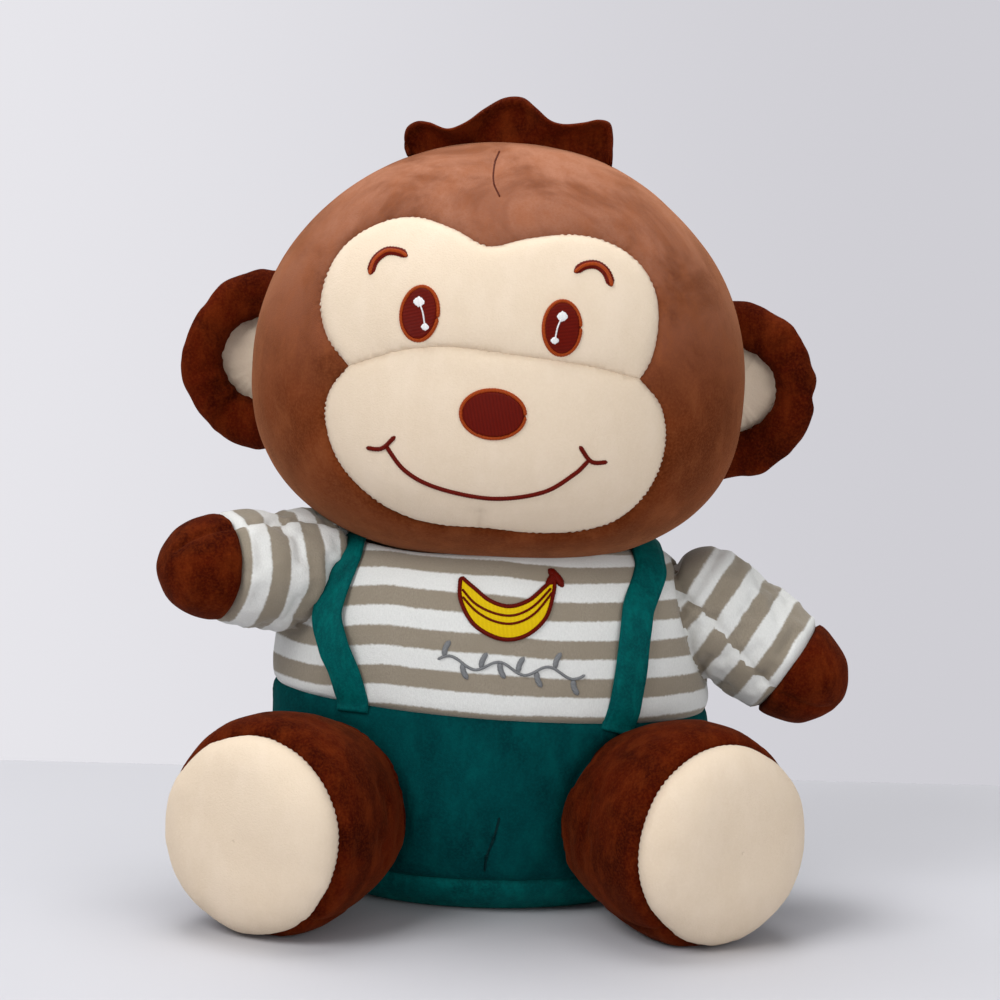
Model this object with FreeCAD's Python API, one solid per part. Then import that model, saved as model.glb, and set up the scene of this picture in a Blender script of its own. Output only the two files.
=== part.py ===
"""A seated stuffed monkey in a striped shirt and strapped trousers, sewn from plush panels over fibre filling.

Frame, in millimetres: +Z is up, the monkey faces -Y and sits on the plane z = 0. +X is the monkey's left.
Every sewn panel is its own shell, as it comes off the bench when its seams are unpicked, and the filling
of the head, neck, torso, arms and legs is a solid of its own. A limb's rounded root is a ball that lies in a
recess of the torso's filling, so that the limb can swing about the middle of its seam.
"""

import FreeCAD
import Part
import math
import os
from FreeCAD import Matrix, Placement, Rotation, Vector

X_AXIS = Vector(1, 0, 0)
Y_AXIS = Vector(0, 1, 0)
Z_AXIS = Vector(0, 0, 1)
ORIGIN = Vector(0, 0, 0)

# Cloth
CLOTH = 1.5  # thickness of plush cloth with its pile
THREAD_LIFT = 0.1  # an embroidered patch lies this far off the cloth
THREAD_TOP = 0.9  # and stands this far off it
BALL_GAP = 0.3  # free space round a limb's ball in its recess
REACH = 400.0  # longer than anything here, for cutting tools
TO_ORIGIN = Vector(-4.06, 20.35, 0.0)  # brings the middle of the whole footprint over the origin

# Torso: half sizes of its rounded barrel, which is cut flat where it sits
TORSO_HALF_WIDTH = 78.0
TORSO_HALF_DEPTH = 52.0
TORSO_MID_Z = 60.0
TORSO_UP = 71.0
TORSO_DOWN = 66.0
TORSO_UP_SQUARENESS = 4.0
TORSO_DOWN_SQUARENESS = 3.0
SEAT_SEAM_Z = 9.0  # the seat panel turns up this far
WAIST_Z = 71.5
WAIST_TILT_DEG = 2.5  # the waist and the stripes run down towards the monkey's left

# Head: half sizes of its rounded form, wider below the eyes than above
HEAD_CENTRE = Vector(-1.0, -6.0, 186.0)
HEAD_HALF_WIDTH = 86.4
HEAD_HALF_DEPTH = 63.0
HEAD_UP = 82.0
HEAD_DOWN = 63.5
HEAD_UP_SQUARENESS = 2.0
HEAD_DOWN_SQUARENESS = 2.5
HEAD_YAW_DEG = -3.0  # the head looks a little to the monkey's right
HEAD_ROLL_DEG = 1.9  # and leans a little to its left
HEAD_SEAM_Y = 9.0  # front panel meets back panels here, in the head's own frame

# Dish in the torso's top, under the head, deep enough for nodding
DISH_RADIUS = 180.0
DISH_BOTTOM_Z = 117.5

# Neck
NECK_CENTRE = Vector(0.0, -4.0, 123.0)
NECK_RADIUS = 21.0

# Arms, each about its shoulder: lift is above the horizontal, forward is from sideways towards the front
ARM_BALL_RADIUS = 19.5
ARM_FLANK = [(12.0, 15.4), (17.0, 16.6), (24.0, 19.0), (32.0, 19.0), (42.0, 16.4), (49.0, 12.8)]
ARM_LENGTH = 56.0
ARM_CUFF = 34.0  # the sleeve ends and the paw begins this far from the shoulder
ARMS = {
    "right": {"side": -1, "shoulder": Vector(-67.3, -10.6, 115.4), "lift": 5.0, "forward": 31.0},
    "left": {"side": 1, "shoulder": Vector(76.5, -5.4, 104.4), "lift": -33.5, "forward": 7.0},
}

# Legs, each about its hip: outward is from straight ahead
LEG_BALL_RADIUS = 27.0
LEG_AXIS_Z = 35.3
LEG_FLANK = [(9.0, 25.5), (20.0, 30.2), (34.0, 36.0), (48.0, 35.6), (55.5, 33.4)]
LEG_LENGTH = 60.0  # hip to the middle of the sole
SOLE_SEAM = 54.5  # the sole begins this far from the hip
LEGS = {
    "right": {"side": -1, "hip": Vector(-55.0, -33.0, LEG_AXIS_Z), "outward": 30.0},
    "left": {"side": 1, "hip": Vector(49.0, -33.0, LEG_AXIS_Z), "outward": 33.0},
}

# Ears: flat round pads, in the head's own frame
EAR_RADIUS = 34.0
EAR_HALF_THICKNESS = 6.0
EAR_CENTRE_X = 80.0
EAR_CENTRE_Y = 9.0
EAR_ROOT_X = 87.0  # the line that an ear folds about
EAR_GAP = 2.5  # between the ear's root and the head
EAR_PATCH_RADIUS = 14.5
EAR_PATCH_X = 83.0

# Hair tuft: a frill of two layers along the head's crown, in the head's own frame
TUFT_Y = 4.5
TUFT_LAYER = 3.0
TUFT_GAP = 2.0
TUFT_OUTLINE = [(-37, 70), (-38, 84), (-32, 88.5), (-20, 87), (-11, 94), (-1, 98.5), (10, 93), (18, 89),
                (27, 94.5), (33.5, 91), (34, 70)]

# Straps: width and the middle line seen from the front, from the waist to the shoulder
STRAP_WIDTH = 11.5
STRAP_LIFT = 0.3
STRAP_TOP = 1.7
STRAP_LINES = {
    "right": [(-47.0, 68.0), (-51.5, 84.0), (-54.5, 99.0), (-51.5, 114.0), (-46.0, 135.0)],
    "left": [(46.0, 65.0), (48.0, 84.0), (50.0, 101.0), (51.5, 116.0), (53.0, 135.0)],
}

# Face, in the head's own frame seen from the front: x to the monkey's left, z up
BROW_TOP = [(-50.4, 5.4), (-58.8, 14.5), (-62.4, 26.0), (-60.0, 38.0), (-53.5, 47.5), (-42.0, 54.8), (-30.0, 57.2),
            (-17.0, 54.0), (-5.0, 49.2), (8.0, 52.6), (24.0, 55.0), (37.0, 52.6), (47.0, 46.0), (53.0, 36.0),
            (54.4, 24.0), (52.8, 14.0), (49.3, 7.7)]
MUZZLE_TOP = [(49.3, 7.7), (35.0, 11.0), (21.0, 12.8), (0.0, 14.6), (-18.0, 15.0), (-34.0, 12.0), (-50.4, 5.4)]
MUZZLE_LOW = [(-50.4, 5.4), (-56.4, -3.5), (-57.8, -13.0), (-54.0, -25.5), (-46.0, -35.8), (-33.0, -44.4),
              (-18.0, -48.0), (0.0, -47.6), (16.0, -49.0), (33.0, -48.0), (46.5, -42.5), (56.0, -31.0),
              (60.0, -16.0), (57.5, -2.0), (49.3, 7.7)]
EYES = {"right": (-26.0, 25.0, 8.0), "left": (21.3, 23.5, -4.0)}  # x, z, lean in degrees
EYE_HALF = (6.6, 9.2)
EYE_RIM = 1.1
HIGHLIGHTS = [(0.2, 4.2, 2.1), (2.6, -4.0, 1.6)]  # x towards the nose, z, radius
JUMP_THREAD = 0.6  # the thread that runs from one highlight to the other
BROWS = {"right": [(-43.8, 36.5), (-39.5, 44.5), (-32.0, 43.6)], "left": [(24.2, 42.4), (31.0, 45.6), (36.5, 38.0)]}
NOSE_CENTRE = (0.5, -5.6)
NOSE_HALF = (10.8, 8.1)
MOUTH_LINE = [(-34.0, -19.3), (-27.0, -27.0), (-16.0, -31.8), (1.5, -34.2), (18.0, -31.0), (28.0, -24.3),
              (32.6, -19.4)]
MOUTH_TICKS = [[(-41.0, -20.9), (-35.5, -20.3), (-31.0, -15.6)], [(39.0, -20.0), (33.5, -19.8), (29.2, -14.6)]]
FACE_THREAD = 1.5  # width of an embroidered line

# Chest embroidery, seen from the front
BANANA_OUTER = [(-10.0, 117.5), (-10.3, 110.5), (-3.0, 101.5), (8.0, 99.3), (18.0, 104.5), (21.5, 115.5)]
BANANA_INNER = [(21.5, 115.5), (14.0, 109.5), (5.0, 107.3), (-3.5, 110.0), (-10.0, 117.5)]
BANANA_EDGE = 1.3
BANANA_STALK = [(18.2, 117.0), (20.0, 119.8), (24.2, 116.2), (22.0, 113.6)]
VINE_START_X = -18.0
VINE_LENGTH = 50.0
VINE_Z = 87.0
VINE_WAVES = 3
VINE_HEIGHT = 2.4
VINE_LEAF_HALF = (1.9, 3.8)

PARTS = {}


def keep(name, shape):
    """Files a piece under its name, as the solid that it holds, moved to stand over the origin."""
    (solid,) = shape.Solids
    solid.translate(TO_ORIGIN)
    PARTS[name] = solid


def egg(half_width, half_depth, up, down, up_squareness, down_squareness):
    """A closed rounded form about the origin, whose front view is two half superellipses."""
    steps = 7
    points = []
    for i in range(-steps, steps + 1):
        angle = math.radians(90.0 * i / steps)
        height, squareness = (up, up_squareness) if i >= 0 else (down, down_squareness)
        across = math.cos(angle) if abs(i) < steps else 0.0
        size = ((across / half_width) ** squareness + (abs(math.sin(angle)) / height) ** squareness)
        radius = size ** (-1.0 / squareness)
        points.append(Vector(across * radius, 0, math.sin(angle) * radius))
    curve = Part.BSplineCurve()
    curve.interpolate(Points=points, InitialTangent=X_AXIS, FinalTangent=-X_AXIS)
    outline = Part.Wire([curve.toShape(), Part.makeLine(points[-1], points[0])])
    form = Part.Face(outline).revolve(ORIGIN, Z_AXIS, 360)
    form.rotate(ORIGIN, Z_AXIS, 25)  # keeps the surface's own seam away from the cuts
    squeeze = Matrix()
    squeeze.scale(1, half_depth / half_width, 1)
    return form.transformGeometry(squeeze)


def head_form(grow=0.0):
    """The head in its own frame, grown by that much all round."""
    return egg(HEAD_HALF_WIDTH + grow, HEAD_HALF_DEPTH + grow, HEAD_UP + grow, HEAD_DOWN + grow,
               HEAD_UP_SQUARENESS, HEAD_DOWN_SQUARENESS)


def head_place():
    """From the head's own frame to the part's."""
    turn = Rotation(Z_AXIS, HEAD_YAW_DEG).multiply(Rotation(Y_AXIS, HEAD_ROLL_DEG))
    return Placement(HEAD_CENTRE, turn)


def placed(shape, place):
    """A copy of the shape, moved."""
    moved = shape.copy()
    moved.Placement = place.multiply(moved.Placement)
    return moved


def slab(low, high):
    """A box between two corners."""
    size = high - low
    return Part.makeBox(size.x, size.y, size.z, low)


def between(outside, inside):
    """The cloth between a form and a smaller one within it."""
    return Part.makeSolid(Part.makeCompound([outside.Shells[0], inside.Shells[0].reversed()]))


def spline(points):
    """A smooth edge through points (x, z) of the front view."""
    curve = Part.BSplineCurve()
    curve.interpolate([Vector(x, 0, z) for x, z in points])
    return curve.toShape()


def prism(edges, near_y, far_y):
    """The closed outline of these edges, drawn on the front view, run from near_y to far_y."""
    face = Part.Face(Part.Wire(Part.__sortEdges__(edges)))
    face.translate(Vector(0, near_y, 0))
    return face.extrude(Vector(0, far_y - near_y, 0))


def polygon(points):
    """The straight edges of a closed outline of points (x, z)."""
    corners = [Vector(x, 0, z) for x, z in points]
    return [Part.makeLine(a, b) for a, b in zip(corners, corners[1:] + corners[:1])]


def ellipse(centre, half, lean_deg=0.0):
    """One closed elliptical edge on the front view."""
    wide, tall = half
    major, minor, turn = (wide, tall, 0.0) if wide >= tall else (tall, wide, 90.0)
    edge = Part.Ellipse(ORIGIN, major, minor).toShape()
    edge.rotate(ORIGIN, X_AXIS, 90)
    edge.rotate(ORIGIN, Y_AXIS, turn + lean_deg)
    edge.translate(Vector(centre[0], 0, centre[1]))
    return edge


def band(points, width, near_y, far_y):
    """A strip of even width along a smooth line through points (x, z)."""
    line = spline(points)
    first, last = line.ParameterRange
    sides = ([], [])
    count = 4 * len(points)
    for i in range(count + 1):
        at = first + (last - first) * i / count
        here, along = line.valueAt(at), line.tangentAt(at)
        across = Vector(-along.z, 0, along.x) * (width / 2)
        for side, sign in zip(sides, (1, -1)):
            edge_point = here + across * sign
            side.append((edge_point.x, edge_point.z))
    ends = [Part.makeLine(Vector(a[0], 0, a[1]), Vector(b[0], 0, b[1]))
            for a, b in ((sides[0][0], sides[1][0]), (sides[0][-1], sides[1][-1]))]
    return prism([spline(sides[0]), spline(sides[1]), *ends], near_y, far_y)


# ---------------------------------------------------------------- torso

def torso_form(grow=0.0):
    """The torso without its recesses, grown by that much, flat underneath and dished on top for the head."""
    form = egg(TORSO_HALF_WIDTH + grow, TORSO_HALF_DEPTH + grow, TORSO_UP + grow, TORSO_DOWN + grow,
               TORSO_UP_SQUARENESS, TORSO_DOWN_SQUARENESS)
    form.translate(Vector(0, 0, TORSO_MID_Z))
    form = form.cut(slab(Vector(-REACH, -REACH, -REACH), Vector(REACH, REACH, -grow)))
    return form.cut(Part.makeSphere(DISH_RADIUS - grow, Vector(0, 0, DISH_BOTTOM_Z + DISH_RADIUS)))


def above_waist():
    """Everything over the tilted waist seam."""
    block = slab(Vector(-REACH, -REACH, 0), Vector(REACH, REACH, REACH))
    block.rotate(ORIGIN, Y_AXIS, WAIST_TILT_DEG)
    block.translate(Vector(0, 0, WAIST_Z))
    return block


def torso_hollows():
    """The recesses for the neck, the arms and the legs."""
    balls = [(NECK_CENTRE, NECK_RADIUS)]
    balls += [(arm["shoulder"], ARM_BALL_RADIUS) for arm in ARMS.values()]
    balls += [(leg["hip"], LEG_BALL_RADIUS) for leg in LEGS.values()]
    return [Part.makeSphere(radius + BALL_GAP, centre) for centre, radius in balls]


def make_torso():
    hollows = torso_hollows()
    inside = torso_form(-CLOTH)
    skin = between(torso_form(), inside).cut(hollows)
    keep("torso_filling", inside.cut(hollows))

    front = slab(Vector(-REACH, -REACH, -REACH), Vector(REACH, 0, REACH))
    seat = slab(Vector(-REACH, -REACH, -REACH), Vector(REACH, REACH, SEAT_SEAM_Z))
    shirt = skin.common(above_waist())
    trousers = skin.cut(above_waist()).cut(seat)
    keep("shirt_front", shirt.common(front))
    keep("shirt_back", shirt.cut(front))
    keep("trousers_front", trousers.common(front))
    keep("trousers_back", trousers.cut(front))
    keep("seat_panel", skin.common(seat))


def make_straps():
    """Flat straps, sewn to the waist in front and behind, that pass over the shoulders."""
    layer = between(torso_form(STRAP_TOP), torso_form(STRAP_LIFT))
    arms = [Part.makeSphere(ARM_BALL_RADIUS + BALL_GAP, arm["shoulder"]) for arm in ARMS.values()]
    for side, line in STRAP_LINES.items():
        strip = band(line, STRAP_WIDTH, -REACH / 2, REACH / 2)
        keep(f"strap_{side}", layer.common(strip).cut(arms))


def chest_layer():
    """The thin space on the shirt's front that embroidery fills."""
    shells = []
    for grow in (THREAD_TOP, THREAD_LIFT):
        form = egg(TORSO_HALF_WIDTH + grow, TORSO_HALF_DEPTH + grow, TORSO_UP + grow, TORSO_DOWN + grow,
                   TORSO_UP_SQUARENESS, TORSO_DOWN_SQUARENESS)
        form.translate(Vector(0, 0, TORSO_MID_Z))
        shells.append(form)
    return between(*shells)


def make_chest_embroidery():
    near, far = -REACH / 4, -TORSO_HALF_DEPTH / 2
    layer = chest_layer()
    outside = prism([spline(BANANA_OUTER), spline(BANANA_INNER)], near, far)
    outer_line = band(BANANA_OUTER, BANANA_EDGE, near, far)
    inner_line = band(BANANA_INNER, BANANA_EDGE, near, far)
    stalk = prism(polygon(BANANA_STALK), near, far)
    edge = outer_line.fuse([inner_line, stalk])
    keep("banana_fruit", layer.common(outside.cut(edge)))
    keep("banana_outline", layer.common(edge))

    steps = 8 * VINE_WAVES
    stem, leaves = [], []
    for i in range(steps + 1):
        share = i / steps
        phase = 2 * math.pi * VINE_WAVES * share
        x = VINE_START_X + VINE_LENGTH * share
        stem.append((x, VINE_Z + VINE_HEIGHT * math.sin(phase)))
        if i % 4 == 2:
            up = 1 if math.sin(phase) > 0 else -1
            leaf = (x + up * 0.8, VINE_Z + up * (VINE_HEIGHT + VINE_LEAF_HALF[1] * 0.8))
            leaves.append(prism([ellipse(leaf, VINE_LEAF_HALF, 20 * up)], near, far))
    vine = band(stem, FACE_THREAD, near, far).fuse(leaves)
    keep("chest_vine", layer.common(vine))


# ---------------------------------------------------------------- head

def make_head():
    place = head_place()
    outside, inside = head_form(), head_form(-CLOTH)
    neck = placed(Part.makeSphere(NECK_RADIUS + BALL_GAP, NECK_CENTRE), place.inverse())
    skin = between(outside, inside).cut(neck)
    front_half = slab(Vector(-REACH, -REACH, -REACH), Vector(REACH, HEAD_SEAM_Y, REACH))
    left_half = slab(Vector(0, -REACH, -REACH), Vector(REACH, REACH, REACH))
    brow = prism([spline(BROW_TOP), spline(MUZZLE_TOP)], -REACH / 2, -HEAD_HALF_DEPTH / 4)
    muzzle = prism([spline(MUZZLE_TOP), spline(MUZZLE_LOW)], -REACH / 2, -HEAD_HALF_DEPTH / 4)
    front, back = skin.common(front_half), skin.cut(front_half)
    pieces = {
        "head_filling": inside.cut(neck),
        "head_front": front.cut([brow, muzzle]),
        "head_back_left": back.common(left_half),
        "head_back_right": back.cut(left_half),
        "brow_patch": front.common(brow),
        "muzzle_patch": front.common(muzzle),
    }
    for name, shape in pieces.items():
        keep(name, placed(shape, place))


def make_face_embroidery():
    near, far = -REACH / 2, -HEAD_HALF_DEPTH / 4
    layer = between(head_form(THREAD_TOP), head_form(THREAD_LIFT))
    place = head_place()

    def sew(name, tool):
        keep(name, placed(layer.common(tool), place))

    for side, (x, z, lean) in EYES.items():
        inner_half = tuple(half - EYE_RIM for half in EYE_HALF)
        whole = prism([ellipse((x, z), EYE_HALF, lean)], near, far)
        iris = prism([ellipse((x, z), inner_half, lean)], near, far)
        to_nose = -1 if x > 0 else 1
        spots = [((x + to_nose * dx, z + dz), r) for dx, dz, r in HIGHLIGHTS]
        middle = ((spots[0][0][0] + spots[1][0][0]) / 2 + to_nose * 0.3, (spots[0][0][1] + spots[1][0][1]) / 2)
        light = band([spots[0][0], middle, spots[1][0]], JUMP_THREAD, near, far)
        light = light.fuse([prism([ellipse(spot, (r, r))], near, far) for spot, r in spots])
        sew(f"eye_{side}", iris.cut(light))
        sew(f"eye_rim_{side}", whole.cut(iris))
        sew(f"eye_highlight_{side}", light)

    for side, arc in BROWS.items():
        sew(f"eyebrow_{side}", band(arc, FACE_THREAD, near, far))
    nose_inner = tuple(half - EYE_RIM for half in NOSE_HALF)
    nose = prism([ellipse(NOSE_CENTRE, nose_inner)], near, far)
    sew("nose", nose)
    sew("nose_rim", prism([ellipse(NOSE_CENTRE, NOSE_HALF)], near, far).cut(nose))
    ticks = [band(tick, FACE_THREAD, near, far) for tick in MOUTH_TICKS]
    sew("mouth", band(MOUTH_LINE, FACE_THREAD, near, far).fuse(ticks))


def ear_pad(shrink=0.0):
    """One ear's flat round pad in the head's own frame, on the +X side, clear of the head."""
    pad = egg(EAR_RADIUS - shrink, EAR_HALF_THICKNESS - shrink, EAR_RADIUS - shrink, EAR_RADIUS - shrink, 2.0, 2.0)
    pad.translate(Vector(EAR_CENTRE_X, EAR_CENTRE_Y, 0))
    return pad.cut(head_form(EAR_GAP + shrink))


def make_ears():
    place = head_place()
    filling = ear_pad(CLOTH)
    skin = between(ear_pad(), filling)
    front_half = slab(Vector(0, -REACH, -REACH), Vector(REACH, EAR_CENTRE_Y, REACH))
    patch = Part.makeCylinder(EAR_PATCH_RADIUS, REACH, Vector(EAR_PATCH_X, EAR_CENTRE_Y, 0), -Y_AXIS)
    front = skin.common(front_half)
    pieces = {
        "ear_filling": filling,
        "ear_back": skin.cut(front_half),
        "ear_front": front.cut(patch),
        "ear_patch": front.common(patch),
    }
    for name, shape in pieces.items():
        keep(f"{name}_left", placed(shape, place))
        keep(f"{name}_right", placed(shape.mirror(ORIGIN, X_AXIS), place))


def make_tuft():
    place = head_place()
    edges = [spline(TUFT_OUTLINE), Part.makeLine(*[Vector(x, 0, z) for x, z in
                                                   (TUFT_OUTLINE[-1], TUFT_OUTLINE[0])])]
    tuft = prism(edges, TUFT_Y - TUFT_LAYER, TUFT_Y + TUFT_LAYER).cut(head_form(TUFT_GAP))
    front = slab(Vector(-REACH, -REACH, -REACH), Vector(REACH, TUFT_Y, REACH))
    keep("tuft_front", placed(tuft.common(front), place))
    keep("tuft_back", placed(tuft.cut(front), place))


# ---------------------------------------------------------------- arms and legs

def turned(points, ball_radius, shrink, end):
    """A limb turned about its own axis +X: a ball about the origin, then a smooth side through points
    (along, radius), then a rounded end."""
    radius = ball_radius - shrink
    side = [(along, width - shrink) for along, width in points]
    start_angle = math.acos(side[0][0] / radius)
    leave = Vector(side[0][0], radius * math.sin(start_angle), 0)
    middle = Vector(-radius * math.cos(start_angle / 2), radius * math.sin(start_angle / 2), 0)
    ball = Part.Arc(Vector(-radius, 0, 0), middle, leave).toShape()
    flank = [leave] + [Vector(along, width, 0) for along, width in side[1:]]
    curve = Part.BSplineCurve()
    curve.interpolate(flank)
    edges = [ball, curve.toShape()]
    last = flank[-1]
    tip = Vector(end - shrink, 0, 0)
    cap = Part.BSplineCurve()
    cap.interpolate([last, Vector((last.x + tip.x * 3) / 4, last.y * 0.62, 0), tip])
    edges += [cap.toShape(), Part.makeLine(tip, Vector(-radius, 0, 0))]
    return Part.Face(Part.Wire(edges)).revolve(ORIGIN, X_AXIS, 360)


def arm_form(shrink=0.0):
    """An arm along +X from its shoulder."""
    return turned(ARM_FLANK, ARM_BALL_RADIUS, shrink, ARM_LENGTH)


def aim(pivot, yaw_deg, lift_deg):
    """Stands a limb made along +X at its pivot: it turns up by lift, then about Z by yaw."""
    turn = Rotation(Z_AXIS, yaw_deg).multiply(Rotation(Y_AXIS, -lift_deg))
    return Placement(pivot, turn)


def make_arms():
    cuff = slab(Vector(ARM_CUFF, -REACH, -REACH), Vector(REACH, REACH, REACH))
    filling = arm_form(CLOTH)
    skin = between(arm_form(), filling)
    pieces = {"arm_filling": filling, "sleeve": skin.cut(cuff), "paw": skin.common(cuff)}
    for side, arm in ARMS.items():
        yaw = -arm["forward"] if arm["side"] > 0 else 180 + arm["forward"]
        for name, shape in pieces.items():
            keep(f"{name}_{side}", placed(shape, aim(arm["shoulder"], yaw, arm["lift"])))


def leg_form(shrink=0.0):
    """A leg along +X from its hip, with a crowned sole."""
    return turned(LEG_FLANK, LEG_BALL_RADIUS, shrink, LEG_LENGTH)


def make_legs():
    filling = leg_form(CLOTH)
    skin = between(leg_form(), filling)
    sole = slab(Vector(SOLE_SEAM, -REACH, -REACH), Vector(REACH, REACH, REACH))
    for side, leg in LEGS.items():
        yaw = -90 + leg["side"] * leg["outward"]
        place = aim(leg["hip"], yaw, 0)
        floor = slab(Vector(-REACH, -REACH, -REACH), Vector(REACH, REACH, 0))
        keep(f"leg_filling_{side}", placed(filling, place))
        keep(f"leg_skin_{side}", placed(skin.cut(sole), place).cut(floor))
        keep(f"sole_{side}", placed(skin.common(sole), place).cut(floor))


def make_neck():
    keep("neck_filling", Part.makeSphere(NECK_RADIUS, NECK_CENTRE))


def make_all():
    make_torso()
    make_straps()
    make_chest_embroidery()
    make_neck()
    make_head()
    make_face_embroidery()
    make_ears()
    make_tuft()
    make_arms()
    make_legs()


def write_all():
    os.makedirs("parts", exist_ok=True)
    for name, shape in PARTS.items():
        shape.exportStep(f"parts/{name}.step")


if __name__ == "__main__":
    make_all()
    write_all()
    whole = Part.makeCompound(list(PARTS.values())).BoundBox
    print(len(PARTS), "nodes, box", whole)
    for name, shape in PARTS.items():
        print(f"{name:18s} solids {len(shape.Solids)} valid {shape.isValid()} volume {shape.Volume / 1000:.2f} cm3")
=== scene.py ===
"""Looks of a seated stuffed monkey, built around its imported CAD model.

Every sewn panel is a dense closed mesh of its own. Sizes here are millimetres in part.py's working frame;
mesh() moves them over the origin and into metres.
"""
import math

import bpy
import numpy as np
from mathutils import Matrix, Vector
from mathutils.bvhtree import BVHTree
from mathutils.geometry import delaunay_2d_cdt
from mathutils.kdtree import KDTree


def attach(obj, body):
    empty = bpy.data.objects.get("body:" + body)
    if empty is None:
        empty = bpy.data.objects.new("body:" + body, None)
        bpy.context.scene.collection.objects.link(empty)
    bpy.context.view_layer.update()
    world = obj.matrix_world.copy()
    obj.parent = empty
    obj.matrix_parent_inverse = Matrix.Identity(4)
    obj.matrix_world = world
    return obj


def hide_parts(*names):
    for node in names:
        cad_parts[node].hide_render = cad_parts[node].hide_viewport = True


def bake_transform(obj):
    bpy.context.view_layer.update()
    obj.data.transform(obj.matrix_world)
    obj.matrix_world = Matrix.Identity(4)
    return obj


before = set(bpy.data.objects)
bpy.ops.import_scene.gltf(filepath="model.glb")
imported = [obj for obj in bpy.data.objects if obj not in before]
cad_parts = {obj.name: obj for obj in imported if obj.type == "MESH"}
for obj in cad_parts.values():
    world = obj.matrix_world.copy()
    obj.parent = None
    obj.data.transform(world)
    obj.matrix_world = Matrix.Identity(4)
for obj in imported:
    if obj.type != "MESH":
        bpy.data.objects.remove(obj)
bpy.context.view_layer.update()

TO_ORIGIN = np.array((-4.06, 20.35, 0.0))
CLOTH = 1.5
FRONT, BACK = -1, 1


# ---------------------------------------------------------------- arrays

def vec(*xyz):
    return np.array(xyz, float)


def unit(v):
    return v / np.maximum(np.linalg.norm(v, axis=-1, keepdims=True), 1e-12)


def smooth(t):
    t = np.clip(t, 0, 1)
    return t * t * (3 - 2 * t)


def rotation(axis, degrees):
    return np.array(Matrix.Rotation(math.radians(degrees), 3, axis))


def lattice(ix, iy, iz, seed):
    n = (ix * 73856093) ^ (iy * 19349663) ^ (iz * 83492791) ^ (seed * 2654435761)
    n = (n ^ (n >> 13)) * 1274126177 & 0xFFFFFFFF
    return ((n ^ (n >> 16)) & 0xFFFF) / 32767.5 - 1


def noise(points, size, seed=0):
    """Smooth noise from -1 to 1 whose blobs are about that many millimetres across."""
    p = np.asarray(points, float) / size + 1000
    cell = np.floor(p).astype(np.int64)
    f = p - cell
    f = f * f * (3 - 2 * f)
    total = 0.0
    for corner in range(8):
        step = [(corner >> k) & 1 for k in range(3)]
        weight = np.prod([f[..., k] if step[k] else 1 - f[..., k] for k in range(3)], axis=0)
        total = total + weight * lattice(*(cell[..., k] + step[k] for k in range(3)), seed)
    return total


def curve_through(points, spacing, closed=False):
    """Evenly spaced points of a smooth line through some."""
    p = np.array(points, float)
    ends = (p[-1:], p[:1], p[1:2]) if closed else (2 * p[:1] - p[1:2], 2 * p[-1:] - p[-2:-1], p[:0])
    q = np.vstack([ends[0], p, ends[1], ends[2]])
    t = np.linspace(0, 1, 24, endpoint=False)[:, None]
    runs = []
    for a, b, c, d in zip(q, q[1:], q[2:], q[3:]):
        runs.append(0.5 * (2 * b + (c - a) * t + (2 * a - 5 * b + 4 * c - d) * t ** 2
                           + (3 * b - a - 3 * c + d) * t ** 3))
    line = np.vstack(runs + [p[:1] if closed else p[-1:]])
    return even(line, spacing)


def even(line, spacing):
    along = np.r_[0, np.cumsum(np.linalg.norm(np.diff(line, axis=0), axis=1))]
    count = max(2, int(round(along[-1] / spacing)))
    at = np.linspace(0, along[-1], count + 1)
    return np.stack([np.interp(at, along, line[:, k]) for k in range(line.shape[1])], axis=1)


def inside(points, loop):
    """Which 2-D points lie inside a closed loop."""
    x, y = points[:, 0], points[:, 1]
    result = np.zeros(len(points), bool)
    for (x0, y0), (x1, y1) in zip(loop, np.roll(loop, -1, axis=0)):
        crosses = (y0 > y) != (y1 > y)
        with np.errstate(divide="ignore", invalid="ignore"):
            result ^= crosses & (x < (x1 - x0) * (y - y0) / (y1 - y0) + x0)
    return result


def tree_of(points):
    tree = KDTree(len(points))
    for i, point in enumerate(points):
        tree.insert(point, i)
    tree.balance()
    return tree


def nearest(points, targets):
    """Distance from each point to the closest target, and that target's index."""
    tree = tree_of(targets)
    found = [tree.find(p) for p in points]
    return np.array([f[2] for f in found]), np.array([f[1] for f in found])


def flat_distance(points, targets):
    """Distance from each 2-D point to the closest 2-D target."""
    return nearest(np.c_[points, np.zeros(len(points))], np.c_[targets, np.zeros(len(targets))])[0]


def snapped(points, verts):
    """The vertices closest to some points."""
    return verts[nearest(points, verts)[1]]


def on_cloth(points, out, cloth):
    """Points moved along their outward directions onto the finished cloth."""
    result = points.copy()
    for i, (p, d) in enumerate(zip(points, out)):
        hit = cloth.ray_cast(p + d * 12.0, -d, 24.0)[0]
        if hit is not None:
            result[i] = hit
    return result


# ---------------------------------------------------------------- surfaces of faces with labels

def grid_faces(rows, cols, wrap=True):
    r, c = np.meshgrid(np.arange(rows - 1), np.arange(cols if wrap else cols - 1), indexing="ij")
    a, b = r * cols + c, r * cols + (c + 1) % cols
    return np.stack([a, b, b + cols, a + cols], axis=-1).reshape(-1, 4)


def face_centres(verts, faces):
    return verts[faces].mean(axis=1)


def normals_of(verts, faces):
    a, b, c = verts[faces[:, 0]], verts[faces[:, 1]], verts[faces[:, 2]]
    n = np.cross(b - a, c - a)
    if faces.shape[1] == 4:
        n = n + np.cross(c - a, verts[faces[:, 3]] - a)
    total = np.zeros_like(verts)
    for k in range(faces.shape[1]):
        np.add.at(total, faces[:, k], n)
    return unit(total)


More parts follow.
